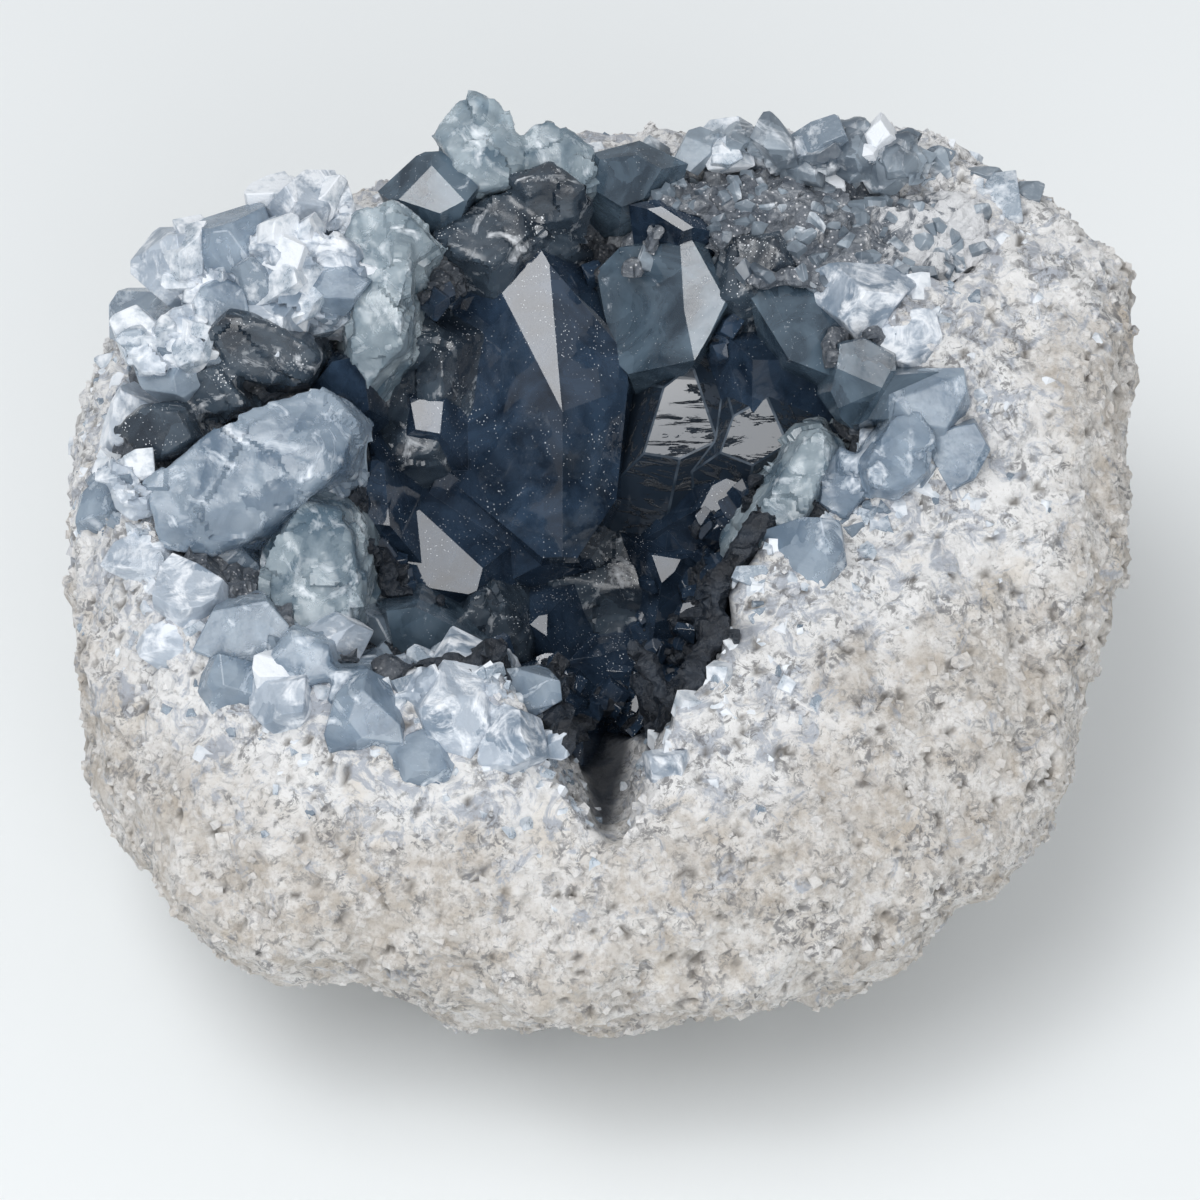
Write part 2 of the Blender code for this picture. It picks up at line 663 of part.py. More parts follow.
def small_crystal(name, length, width, chance):
    """A short flattened prism along +Z with a chisel end, one flat face for each of its sides."""
    bm = bmesh.new()
    bmesh.ops.create_cube(bm, size=1.0, matrix=Matrix.Diagonal((width, width, 2 * length, 1)))
    flat = width * chance.uniform(0.28, 0.42)
    for side in (-1, 1):
        slice_off(bm, Vector((0, side * flat, 0)), Vector((0, side, 0.06)))
        corner = chance.uniform(0.5, 1.1)
        slice_off(bm, Vector((side * width * 0.36, 0, 0)), Vector((side, corner, 0.05)))
        slice_off(bm, Vector((side * width * 0.36, 0, 0)), Vector((side, -corner, 0.05)))
        slice_off(bm, Vector((0, 0, length)), Vector((side * chance.uniform(0.6, 1.1), 0, 1)))
    slice_off(bm, Vector((0, 0, length * 0.97)), Vector((0, chance.uniform(0.3, 0.8), 1)))
    slice_off(bm, Vector((0, 0, -0.5 * length)), Vector((0, 0, -1)))
    bmesh.ops.triangulate(bm, faces=bm.faces)
    return object_from(bm, name)


def mouth_height(u, v):
    """The lump's front surface before it is hollowed."""
    offset = Vector((u, v)) - OUTLINE_CENTRE
    return front_height(v, min(1.0, offset.length / outline_radius(math.atan2(offset.y, offset.x))))


def inside_hollow(point, margin):
    """Whether a point is at least margin inside any one of the pockets."""
    for centre, half in POCKETS:
        if sum(((p - c) / (h - margin)) ** 2 for p, c, h in zip(point, centre, half)) < 1:
            return True
    return False


def small_crystal_places(chance):
    """Points spread over the hollow's wall, each with the direction into the hollow."""
    places = []
    for _ in range(SMALL_COUNT * 40):
        centre, half = chance.choice(POCKETS[:5])
        direction = Vector((chance.gauss(0, 1), chance.gauss(0, 1), chance.gauss(0, 1))).normalized()
        point = Vector(c + d * (h - 1.5) for c, d, h in zip(centre, direction, half))
        if inside_hollow(point, 3.0) or point.z > mouth_height(point.x, point.y) - 3.0:
            continue
        if any((point - other).length < SMALL_SPACING for other, _ in places):
            continue
        inward = -Vector(d / h for d, h in zip(direction, half)).normalized()
        places.append((point, inward))
        if len(places) == SMALL_COUNT:
            break
    return places


def small_crystals():
    chance = random.Random(SMALL_SEED)
    crystals = []
    for index, (point, inward) in enumerate(small_crystal_places(chance)):
        length, width = chance.uniform(*SMALL_LENGTH), chance.uniform(*SMALL_WIDTH) * 1.6
        lean = Vector((chance.gauss(0, 1), chance.gauss(0, 1), chance.gauss(0, 1))) * SMALL_LEAN / 1.6
        aim = (inward + lean).normalized().to_track_quat("Z", "Y").to_matrix().to_4x4()
        spin = Matrix.Rotation(chance.uniform(0, math.pi), 4, "Z")
        obj = small_crystal(f"small_{index}", length, width, chance)
        obj.data.transform(Matrix.Translation(point) @ aim @ spin)
        crystals.append(obj)
    return crystals


# The two pieces


def crystal_crust():
    """The crust: a skin on the hollow's wall with every crystal grown into it, clear of the rock."""
    skin = combined(lump("crystal_crust"), "INTERSECT", [hollow("skin_back", CRUST_BACK, HAIRLINE)])
    skin = combined(skin, "DIFFERENCE", [hollow("skin_face", CRUST_FACE, shelves=False)])
    large = [large_crystal(name, spec) for name, spec in LARGE_CRYSTALS.items()]
    crust = combined(skin, "UNION", large + small_crystals())
    rock = combined(lump("rock_with_room", HAIRLINE), "DIFFERENCE", [hollow("room", HAIRLINE, HAIRLINE)])
    crust = combined(crust, "DIFFERENCE", [rock])
    keep_largest_body(crust)
    return crust


def matrix_rock():
    rock = combined(lump("matrix"), "DIFFERENCE", [hollow("hollow")])
    keep_largest_body(rock)
    return rock


def material(name, colour, roughness):
    made = bpy.data.materials.new(name)
    made.use_nodes = True
    shader = made.node_tree.nodes["Principled BSDF"]
    shader.inputs["Base Color"].default_value = (*colour, 1)
    shader.inputs["Roughness"].default_value = roughness
    shader.inputs["Metallic"].default_value = 0.0
    return made


def main():
    for obj in list(bpy.data.objects):
        bpy.data.objects.remove(obj)
    rock, crust = matrix_rock(), crystal_crust()
    rock.data.materials.clear()
    rock.data.materials.append(material("pale_rock", (0.74, 0.72, 0.69), 0.9))
    crust.data.materials.clear()
    crust.data.materials.append(material("celestite", (0.36, 0.48, 0.58), 0.12))
    for obj in (rock, crust):
        obj.data.transform(table_matrix())
        obj.data.shade_flat()


main()
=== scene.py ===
"""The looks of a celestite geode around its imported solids: pale rock, blue crystals, floor and light."""

import math
import random

import bpy
import numpy as np
from bpy.props import FloatProperty, FloatVectorProperty, IntProperty, PointerProperty
from mathutils import Matrix, Vector, noise
from mathutils.bvhtree import BVHTree


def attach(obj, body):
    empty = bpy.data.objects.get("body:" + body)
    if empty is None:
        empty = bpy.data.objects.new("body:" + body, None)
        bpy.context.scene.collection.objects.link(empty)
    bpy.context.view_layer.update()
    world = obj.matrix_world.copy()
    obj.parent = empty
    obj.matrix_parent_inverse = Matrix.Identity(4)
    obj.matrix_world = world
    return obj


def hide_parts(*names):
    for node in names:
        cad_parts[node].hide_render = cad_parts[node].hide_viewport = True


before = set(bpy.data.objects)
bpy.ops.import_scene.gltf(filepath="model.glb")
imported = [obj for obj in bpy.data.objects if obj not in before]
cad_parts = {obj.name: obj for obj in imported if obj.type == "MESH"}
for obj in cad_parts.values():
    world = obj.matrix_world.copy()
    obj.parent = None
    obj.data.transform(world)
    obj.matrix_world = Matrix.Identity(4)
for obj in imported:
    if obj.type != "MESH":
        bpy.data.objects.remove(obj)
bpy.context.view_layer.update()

bl_info = {
    "name": "Celestite Geode",
    "version": (1, 0, 0),
    "blender": (4, 5, 0),
    "location": "3D View > Sidebar > Geode",
    "description": "Builds a lump of pale rock with a hollow full of blue celestite crystals",
    "category": "Add Mesh",
}

BODY = "root"
MM = 0.001

# The eye's height angle, and the point it looks at, in millimetres
EYE_ELEVATION = math.radians(43.0)
START = Vector((-0.3, -7.1, 50.0))
EYE_DISTANCE = 0.8
VIEW_WIDTH = 0.16667

# Slope that many crystals share, because they grew side by side: rise along u and along v
GLINT = (0.155, -0.206)

# The kinds of large crystal
LOOKS = ("navy", "ribbed", "slate", "sea", "mint", "ridge", "frost", "milk")

# Crystals out on the rim narrow towards the rock below their top
HOLLOW_CENTRE = (-6.0, 14.0)
RIM_DISTANCE = 42.0
TUCK_BELOW = 3.5
TUCK_SLOPE = 1.1

# The sides of a crystal that stands high in the hollow or far out on the rim fall away at least this fast
HIGH_DEPTH = 10.0
FAR_DISTANCE = 46.0
STEEP_SIDE = 5.0

# The middle of the hollow as the eye sees it, and how far its rim is from there, in millimetres
MIDDLE = (-3.0, 14.0)
MIDDLE_REACH = 40.0

# The notch in the front rim as the eye sees it. Each pair is where a change begins and where it is complete.
NOTCH_U = -1.0
NOTCH_HALF_WIDTH = (8.0, 13.0)
NOTCH_TOP = (0.0, 6.0)
NOTCH_TIP_U = 0.7
NOTCH_TIP_HALF_WIDTH = (2.5, 5.0)
NOTCH_TIP_TOP = (-14.0, -8.0)
NOTCH_TIP_FOOT = (-33.0, -29.0)

# The rock turns dark this near the crust, in millimetres, and this near the middle of the hollow
DARK_DISTANCE = (0.8, 2.4)
DARK_SPREAD = (0.55, 0.85)

# Where the lining is pale and where it is powdered
PALE_U = (-2.0, 6.0)
PALE_V = (39.0, 44.0)
PALE_SPREAD = (0.72, 1.05)
POWDERED_U = (30.0, 56.0)
POWDERED_V = (36.0, 44.0)

CELESTITE_IOR = 1.62

# The way the ribs run on the ribbed crystals, and how they are stretched
RIB_TURN = (0.3, 0.2, 0.6)
RIB_STRETCH = (0.35, 3.0, 3.0)

# Each crystal material: its two tones, the settings for what it lets through, and then how clear, milky and
# dusty it is, and the size of its ripples in millimetres
CRYSTAL_MATERIALS = (
    ("deep_crystal", (0.013, 0.024, 0.044), (0.050, 0.088, 0.150), "navy", "navy_depth", 0.35, 0.0, 0.8, 9),
    ("sea_crystal", (0.038, 0.066, 0.10), (0.17, 0.25, 0.33), "sea", "sea_depth", 0.45, 0.3, 0.5, 3.5),
    ("mint_crystal", (0.15, 0.235, 0.31), (0.57, 0.68, 0.75), "sea", "sea_depth", 0.45, 0.55, 0.3, 3),
    ("ridge_crystal", (0.10, 0.135, 0.18), (0.38, 0.46, 0.54), "sea", "sea_depth", 0.35, 0.6, 0.3, 2),
    ("frosted_crystal", (0.20, 0.29, 0.40), (0.48, 0.59, 0.71), "frost", "frost_depth", 0.5, 0.55, 0.25, 2.5),
    ("milky_crystal", (0.25, 0.33, 0.43), (0.58, 0.66, 0.76), "frost", "frost_depth", 0.30, 0.9, 0.15, 1.5),
    ("slate_crystal", (0.020, 0.032, 0.050), (0.085, 0.120, 0.160), "sea", "navy_depth", 0.35, 0.5, 1.0, 3),
)

# The blocks along the rim are found from this w, and set so far along the line of sight and so far down, as
# shares of their size
RAY_START = 90.0
RIM_LIFT = (-0.20, -0.02)
RIM_DROP = 0.06

# Where the eye sees each larger block along the rim, as u, v and its size in millimetres
RIM_CRYSTALS = (
    (-48, -4, 13), (-38, -7, 13), (-26, -6, 17), (-19, -13, 16), (-31, -15, 13), (-42, -14, 11),
    (-24, -21, 12), (-13, -19, 12), (-35, 0, 11), (-55, 0, 11), (-51, 6, 11), (-58, -6, 8),
    (-50, -12, 10), (-6, -19, 6), (-11, -12, 10), (36, 42, 14), (35, 32, 12), (42, 35, 11), (44, 27, 13),
    (40, 21, 12), (49, 21, 10), (35, 14, 13), (29, 6, 13), (9, -22, 7), (-62, 38, 14), (-58, 46, 13),
    (-50, 49, 14), (-42, 52, 13), (-37, 43, 13), (-44, 40, 14), (-53, 38, 14), (-65, 24, 11),
    (-67, 14, 9), (-62, 6, 10), (-58, 31, 11),
)
BACK_CRYSTALS = (
    (14, 63, 7), (19, 64, 6), (24, 64, 7), (31, 62, 6), (35, 62, 7), (42, 61, 6), (47, 60, 7),
    (54, 59, 6), (7, 61, 7), (60, 57, 5), (3, 60, 6), (17, 61, 6), (28, 60, 6), (39, 59, 6),
)


def crystal(look, depth, slope, face, steep=3.0, root=22.0, roofs=(), outline=()):
    """One large crystal, in millimetres in the eye's directions: u right, v up, w towards the eye. Look names
    its kind. Face is its top facet, depth its w in the middle, slope its rise along u and v, and steep how
    fast the sides fall away, one value or one for each edge. Root is how far down it goes. Roofs are further
    facets, (u, v, w, rise along u, rise along v), and outline is where the whole crystal ends."""
    facets = {"face": face, "depth": depth, "slope": slope, "steep": steep, "roofs": roofs}
    return {"look": look, "root": root, "outline": outline, **facets}


LARGE_CRYSTALS = {
    "tall_prism": crystal(
        "navy", 4.0, GLINT, steep=(0.35, 0.85, 2.6, 2.6), root=26,
        face=((-15, 45.3), (-5.2, 26), (-7, 46.5), (-9, 50)),
        roofs=((-5.2, 26, 7.9, 0.56, 0.0), (-5.2, 26, 7.9, -0.8, 0.0)),
        outline=((-21.5, 43), (-22.5, 19), (-8, 5.5), (-3, 5.5), (2, 14), (3.5, 30), (2.5, 39),
            (-2, 46), (-9, 51)),
    ),
    "kite_prism": crystal(
        "sea", 6.0, GLINT, steep=(3, 1.4, 1.6, 3, 0.55, 0.4), root=24,
        face=((12, 33), (13.4, 33), (17.3, 41.2), (12.7, 49.8), (9.8, 49.2), (11.6, 40)),
        outline=((3.2, 33), (7, 28.5), (13, 32.5), (17.8, 41), (13, 52), (7, 54.3), (2.5, 53),
            (0.3, 48), (1.5, 40)),
    ),
    "stepped_plate": crystal(
        "ribbed", 3.0, GLINT, steep=(1.2, 1.5, 1.0, 2.5, 2.0),
        face=((6, 20.3), (11, 19.5), (16.2, 22), (12.8, 32.6), (8.8, 29.5)),
    ),
    "ribbed_plate": crystal(
        "ribbed", 7.5, GLINT, steep=(1.6, 2.0, 1.0, 1.2, 2.2),
        face=((16.5, 20.3), (21, 18.5), (25.8, 21.4), (23, 28), (18.3, 25.3)),
    ),
    "low_plate": crystal(
        "navy", 4.0, GLINT, steep=(1.5, 1.5, 0.9, 2, 3, 2),
        face=((13.9, 12.8), (16.3, 12), (17.5, 13.3), (24.3, 18.3), (22.5, 19.5), (15.5, 15.8)),
    ),
    "chip_between_plates": crystal(
        "navy", 1.0, GLINT, steep=1.5,
        face=((15.8, 27.7), (18.4, 25.4), (19, 26.3), (15.8, 29.3)),
    ),
    "bright_plate": crystal(
        "navy", 3.0, GLINT, steep=(3, 2, 2, 2, 1.2, 1.0, 2.5),
        face=((-26.8, 5), (-25.7, 2), (-18.2, 0.8), (-17, 1.3), (-16.2, 4.4), (-25, 12.5), (-26.6, 12)),
    ),
    "sail": crystal(
        "navy", 9.0, GLINT, steep=(2, 2.6, 2, 1.4),
        face=((-34.5, 10.8), (-28.8, 10.2), (-29.7, 18.7), (-30.6, 19.3)),
    ),
    "wing_upper": crystal(
        "navy", 6.5, GLINT, steep=(2, 2, 1.0, 1.4),
        face=((-25.4, 23.5), (-22, 22.9), (-21.6, 27.3), (-26.2, 27.8)),
    ),
    "wing_lower": crystal(
        "slate", 5.0, (0.21, -0.17), steep=(2, 2, 2, 1.0, 1.3),
        face=((-26.8, 19.2), (-23.2, 20), (-22, 22.7), (-27, 23.8), (-29.2, 20.3)),
    ),
    "crown_block": crystal(
        "sea", 7.0, GLINT, steep=(2, 2, 2, 0.75, 0.65, 3),
        face=((-25, 51.6), (-22, 53.2), (-20, 52.5), (-18.4, 54.7), (-23.2, 59.9), (-28.2, 54.7)),
        outline=((-25, 51), (-20, 52), (-17, 57), (-22, 61.7), (-25.5, 61.5), (-30.5, 57), (-29, 54.5)),
    ),
    "small_dart": crystal(
        "navy", -1.0, GLINT, steep=(1.6, 1.2, 1.2, 2),
        face=((7.2, 6.3), (9, 1.2), (10.4, 4), (12.1, 5.5)),
    ),
    "small_chip": crystal(
        "navy", 0.0, GLINT, steep=1.6,
        face=((-9.7, -3.4), (-7.4, -5), (-7.3, -2), (-8.5, -2.2)),
    ),
    "top_chip": crystal(
        "navy", 6.0, GLINT, steep=(1.5, 2, 2, 1.2),
        face=((6.5, 54), (11.5, 50.8), (12.9, 51.3), (8.5, 54.3)),
    ),
    "ribbed_block": crystal(
        "slate", -6.0, (0.12, 0.42), steep=(2, 1.4, 2, 1.2, 2, 3, 2),
        face=((-6.8, -4.8), (1, -5.2), (7.5, -3), (6.5, 5.5), (4, 8), (-2, 8), (-7.5, 5.5)),
        roofs=((0, 1.5, -5.6, 0.05, -0.35),),
    ),
    "grey_block": crystal(
        "slate", 4.0, (-0.4, 0.3), steep=3.0,
        face=((-18.5, -2.5), (-15.5, -8), (-13, -9), (-10.7, -8), (-10.5, -5), (-12, -1.5),
            (-15.2, 1.6), (-17.6, 0.2)),
    ),
    "slate_slab": crystal(
        "sea", 15.0, (-0.25, 0.5), steep=2.5,
        face=((-28, -7), (-22, -9.5), (-15.5, -10), (-16, -7), (-20, -3.5), (-25, -1), (-29, -1.5)),
    ),
    "notch_block": crystal(
        "navy", 17.0, (0.5, 0.3), steep=1.8, root=28,
        face=((-12, -18), (-10, -23.5), (-6, -25), (-3.5, -22), (-3.5, -17), (-6, -14), (-10, -12.5),
            (-14.5, -12.5)),
        roofs=((-8, -18, 17.2, -0.6, 0.2),),
    ),
    "sea_block": crystal(
        "sea", 11.0, (-0.1, -0.5), steep=2.0,
        face=((21, 34.5), (26, 33), (28, 29.5), (31, 31), (35, 38.5), (30, 46), (25, 44.5), (20, 42),
            (17, 37)),
        roofs=((26.6, 38, 11.4, 0.45, -0.25), (28, 37, 11.4, -0.3, -0.1)),
    ),
    "navy_block": crystal(
        "slate", 8.5, (0.45, -0.25), steep=2.0,
        face=((17, 42), (19, 41.5), (25, 46.5), (24, 50), (17.5, 49.5)),
    ),
    "blue_lens": crystal(
        "sea", 16.0, (0.35, 0.2), steep=1.8,
        face=((31.5, 28.5), (33, 25), (35, 23.5), (38, 27), (40, 31), (39.5, 33), (36, 35), (33, 34.5)),
        roofs=((35.5, 29, 16.4, 0.1, -0.35), (35.5, 28.6, 16.4, 0.1, 0.8)),
    ),
    "blue_wedge": crystal(
        "sea", 18.0, (-0.3, 0.25), steep=1.8,
        face=((36, 24), (37.5, 22), (40, 24.5), (44, 24.5), (47, 26), (46, 31), (40, 30.5)),
    ),
    "ice_tooth": crystal(
        "mint", 21.0, (0.3, -0.25), steep=(1.4, 2, 3, 3, 3, 2, 1.5, 0.9, 0.9),
        face=((19.3, 9), (20, 5), (25, 8), (28, 12), (29.5, 16), (31.5, 20.5), (30, 22.2), (26, 21.8),
            (22, 13)),
        outline=((18.5, 8), (19.5, 4.5), (25, 7), (29, 11), (32, 20.5), (30, 23), (25.5, 22.5),
            (22.8, 17)),
    ),
    "cloudy_tooth": crystal(
        "frost", 22.0, (-0.15, -0.3), steep=(1.2, 2, 3, 3, 2, 1.2, 1.0, 0.9),
        face=((36, 18.5), (37, 15.5), (40, 14.5), (44.5, 17), (45, 22), (43, 25.5), (40, 25),
            (37.5, 21.5)),
    ),
    "sand_tooth": crystal(
        "frost", 20.0, (0.0, -0.35), steep=2.0,
        face=((29.5, 13), (33, 11), (37, 15), (36, 19), (32, 20.3), (29.5, 18)),
    ),
    "great_shard": crystal(
        "frost", 24.5, (0.18, -0.1), steep=2.2, root=20,
        face=((-61.8, 15), (-59.5, 8), (-57.5, 5.2), (-52, 7.2), (-46, 7.6), (-43, 9), (-40, 12),
            (-36.5, 13.6), (-35.2, 18), (-32.5, 20), (-32.8, 22.5), (-35, 25.5), (-39, 29),
            (-42.5, 29.8), (-46, 27.5), (-50, 24.5), (-56, 22), (-59.5, 19.5)),
        roofs=((-47, 17.5, 26.2, 0.12, -0.55), (-47, 16.5, 26.2, -0.02, 0.5),
            (-38, 21, 26.0, -0.55, -0.25)),
    ),
    "mint_upper": crystal(
        "mint", 14.5, (0.2, -0.35), steep=1.8,
        face=((-34.5, 49), (-32, 45.5), (-27, 46), (-23.5, 48.8), (-26, 52), (-28.5, 54.5), (-31, 54.5),
            (-33.5, 53)),
        roofs=((-30, 50.5, 15, -0.45, -0.3),),
    ),
    "mint_lower": crystal(
        "mint", 18.0, (0.15, -0.3), steep=1.7, root=24,
        face=((-33.5, 40), (-33.5, 33), (-30.5, 27), (-28, 28), (-27.5, 33.5), (-25, 37), (-21, 41),
            (-19, 44.5), (-20.5, 47), (-22, 48.8), (-29, 48), (-33.5, 45)),
        roofs=((-26, 42.5, 18.6, -0.5, 0.1), (-29.5, 40, 18.6, 0.45, -0.1), (-28, 36, 18.0, 0.0, 0.5)),
    ),
    "mint_stump": crystal(
        "mint", 25.5, (-0.1, 0.15), steep=(2, 2, 2, 2, 1.2, 1.2, 1.5, 1.3, 1.5), root=24,
        face=((-45, 1), (-43, -4), (-38, -4.5), (-33.5, -3), (-33, 2), (-34, 9), (-36, 11), (-40, 12.5),
            (-44, 6)),
        roofs=((-38, 5, 26.2, -0.1, -0.5), (-36, 3, 26.0, -0.7, 0.0), (-41, 5, 25.8, 0.5, -0.1)),
    ),
    "dusk_block": crystal(
        "slate", 18.0, (0.35, 0.35), steep=2.0,
        face=((-56.5, 26), (-52, 25), (-48, 26.5), (-50, 29), (-52, 31.5), (-56, 31)),
    ),
    "speckled_slab": crystal(
        "slate", 19.0, (-0.1, 0.5), steep=2.0,
        face=((-50, 31), (-45, 29), (-40, 29.5), (-38.5, 33), (-40, 35), (-44, 37), (-50, 38.5),
            (-53, 36)),
    ),
    "navy_wedge": crystal(
        "navy", 14.0, (0.35, 0.4), steep=1.8,
        face=((-39.5, 29), (-34, 24.5), (-31.5, 26), (-32, 30), (-34, 33), (-36.5, 32.5)),
    ),
    "crest_knob": crystal(
        "mint", 5.0, (0.1, -0.35), steep=1.4, root=24,
        face=((-20, 60), (-17, 57), (-12, 58), (-11.5, 63), (-12.5, 66.5), (-14, 69), (-18, 69.6),
            (-20.5, 69), (-21.5, 67), (-23.3, 65)),
        roofs=((-17, 64, 5.6, -0.5, -0.3), (-18, 64, 5.6, 0.4, -0.5), (-16, 60, 5.4, 0.0, 0.3)),
    ),
    "crest_dome": crystal(
        "mint", 3.5, (0.15, -0.3), steep=1.4, root=22,
        face=((-9, 57), (-4, 55.5), (0, 58), (-1, 62), (-4, 65), (-7, 66.5), (-9, 66), (-11, 64)),
        roofs=((-6, 61, 4.2, -0.5, -0.35), (-7, 60, 4.2, 0.55, -0.2)),
    ),
    "crest_foot": crystal(
        "slate", 6.0, (0.1, 0.5), steep=1.8,
        face=((-9, 52.5), (-4, 53), (-3, 56.5), (-7, 58.5), (-11, 57.5)),
    ),
    "smoky_slab": crystal(
        "slate", 5.5, (0.1, -0.55), steep=2.2,
        face=((-23, 49.5), (-15, 46), (-9.5, 50.5), (-12, 57), (-16, 55.5), (-19, 53)),
    ),
    "crest_flat": crystal(
        "sea", 3.0, (0.35, 0.3), steep=1.8,
        face=((-1, 57), (3, 54.5), (6, 55.5), (8.5, 59.5), (5, 61.5), (0, 61)),
    ),
    "cloud_mass": crystal(
        "milk", 18.5, (0.15, 0.05), steep=1.6,
        face=((-49.5, 42), (-44, 40), (-39, 38.5), (-35, 39), (-33, 43.5), (-34, 47.5), (-36, 49.5),
            (-42, 51), (-46.5, 51.3), (-48, 49)),
        roofs=((-42, 46, 19.2, 0.3, -0.5), (-41, 44, 19.0, -0.35, 0.25)),
    ),
    "cloud_back": crystal(
        "milk", 10.0, (0.3, -0.3), steep=1.5,
        face=((-47, 51.5), (-43, 51), (-38, 51.5), (-39, 56), (-42, 56.5), (-45, 55.5)),
    ),
    "cloud_fin": crystal(
        "milk", 11.0, (-0.3, -0.2), steep=1.8,
        face=((-39, 50.5), (-35.5, 50), (-34, 52.5), (-34.5, 56), (-38, 56), (-40, 53)),
    ),
    "cloud_left": crystal(
        "milk", 14.0, (0.3, -0.2), steep=1.5,
        face=((-58, 44), (-54, 41.5), (-50, 43), (-50, 50), (-54, 51.5), (-58, 49)),
    ),
    "cloud_low": crystal(
        "milk", 19.5, (0.2, -0.2), steep=1.5,
        face=((-62, 31), (-57, 31), (-54, 33), (-53, 38), (-58, 40), (-64, 36)),
    ),
    "plum_block": crystal(
        "slate", 20.5, (0.4, 0.3), steep=1.8,
        face=((-62, 18.5), (-58, 20), (-55, 22), (-57, 25.5), (-62, 26), (-66, 23)),
    ),
    "rim_knob": crystal(
        "milk", 22.0, (0.2, -0.1), steep=1.5,
        face=((-65, 12.5), (-62, 13), (-61.5, 15.5), (-63, 18), (-66, 19.5), (-68, 17)),
    ),
    "back_ridge_left": crystal(
        "ridge", 1.0, (0.05, -0.5), steep=1.5,
        face=((13, 62.5), (24, 61.5), (27, 63), (26, 65.5), (20, 65.6), (16, 65)),
    ),
    "back_ridge_mid": crystal(
        "ridge", 0.5, (0.1, -0.4), steep=1.4,
        face=((28, 60.5), (31, 60), (38, 61), (39, 65.5), (36, 67), (31, 66), (27.5, 64.5)),
    ),
    "back_ridge_right": crystal(
        "ridge", 0.5, (-0.2, -0.3), steep=1.6,
        face=((38.5, 60.5), (44, 58.5), (46.5, 61), (43, 65), (39.5, 65.3)),
    ),
    "shadow_wall": crystal(
        "navy", 5.0, (-0.45, 0.25), steep=2.0,
        face=((21, 26), (25, 22), (31, 22.5), (34, 30), (30, 33), (26.5, 33), (21, 33)),
    ),
    "well_right": crystal(
        "navy", -5.0, (-0.5, 0.25), steep=2.0,
        face=((8, -3.5), (13, -3.5), (15, 3), (15, 8), (12, 10.5), (5, 9), (8.5, 1)),
    ),
    "well_back": crystal(
        "navy", -7.0, (-0.4, -0.5), steep=1.8,
        face=((5, 16), (12, 10), (15, 12), (11, 19.5), (6, 20.5)),
    ),
    "well_left": crystal(
        "navy", -2.0, (0.35, 0.45), steep=2.0,
        face=((-25, 12.5), (-16, 5), (-12, 3), (-7, 5.5), (-12, 11), (-22, 18.5)),
    ),
    "rim_a": crystal(
        "frost", 33.4, (0.2, -0.2), steep=1.6, root=14,
        face=((-44, -8), (-40, -11.5), (-35.5, -10), (-36, -6), (-41, -4.5)),
    ),
    "rim_b": crystal(
        "frost", 33.9, (-0.1, 0.3), steep=1.6, root=14,
        face=((-36, -13.5), (-31, -15), (-28.5, -12), (-31, -9), (-35, -9.5)),
    ),
    "rim_c": crystal(
        "milk", 34.6, (0.3, -0.3), steep=1.6, root=14,
        face=((-27, -13), (-21, -14.5), (-18.5, -11.5), (-22, -9.5), (-26.5, -10)),
    ),
    "rim_d": crystal(
        "milk", 34.7, (0.1, 0.2), steep=1.6, root=14,
        face=((-17, -13), (-13.5, -17), (-11, -14.5), (-13.5, -11), (-16.5, -10.5)),
    ),
    "floor_slab": crystal(
        "navy", -4.0, (0.1, 0.35), steep=2.2, root=18,
        face=((-12, -9.5), (-4, -15), (1, -16), (8, -12), (14, -8.5), (2, -7.5)),
        roofs=((1, -12, -3.6, -0.3, 0.1),),
    ),
    "dusty_wall": crystal(
        "slate", 6.0, (0.4, 0.2), steep=1.8,
        face=((-30, 26), (-27, 24), (-22, 28), (-21.5, 34), (-25, 36), (-28, 31)),
    ),
}


# Places and directions


def eye_to_row():
    """From u, v, w in millimetres to the row frame in metres."""
    up, back = math.cos(EYE_ELEVATION), math.sin(EYE_ELEVATION)
    turn = Matrix(((1, 0, 0, 0), (0, back, -up, 0), (0, up, back, 0), (0, 0, 0, 1)))
    return Matrix.Scale(MM, 4) @ Matrix.Translation(START) @ turn


def direction_of(u, v, w):
    """The row's direction for one in the eye's directions."""
    return (eye_to_row().to_3x3() @ Vector((u, v, w))).normalized()


def outward_of(a, b):
    """The direction out of an anticlockwise outline at its edge from a to b."""
    length = math.dist(a, b)
    return (b[1] - a[1]) / length, -(b[0] - a[0]) / length


# Modelling helpers


def deselect():
    if bpy.context.mode != "OBJECT":
        bpy.ops.object.mode_set(mode="OBJECT")
    bpy.ops.object.select_all(action="DESELECT")


def pick(obj):
    """Makes obj the only selected and the active object."""
    deselect()
    obj.select_set(True)
    bpy.context.view_layer.objects.active = obj


def linked(name, data):
    """A new object with this data, in the scene."""
    obj = bpy.data.objects.new(name, data)
    bpy.context.scene.collection.objects.link(obj)
    return obj


def copy_of(source, name):
    """A free copy of an object, with its own mesh and no parent."""
    obj = linked(name, source.data.copy())
    obj.data.transform(source.matrix_world)
    obj.data.materials.clear()
    return obj


def edited(obj, operator, **settings):
    """Runs one mesh operator on the whole of obj in edit mode."""
    pick(obj)
    bpy.ops.object.mode_set(mode="EDIT")
    bpy.ops.mesh.select_all(action="SELECT")
    operator(**settings)
    bpy.ops.object.mode_set(mode="OBJECT")
    return obj


def welded(obj, distance=1e-7):
    return edited(obj, bpy.ops.mesh.remove_doubles, threshold=distance)


def modified(obj, kind, **settings):
    """Adds one modifier, sets it and applies it."""
    pick(obj)
    modifier = obj.modifiers.new(kind.lower(), kind)
    for key, value in settings.items():
        setattr(modifier, key, value)
    bpy.ops.object.modifier_apply(modifier=modifier.name)
    return obj


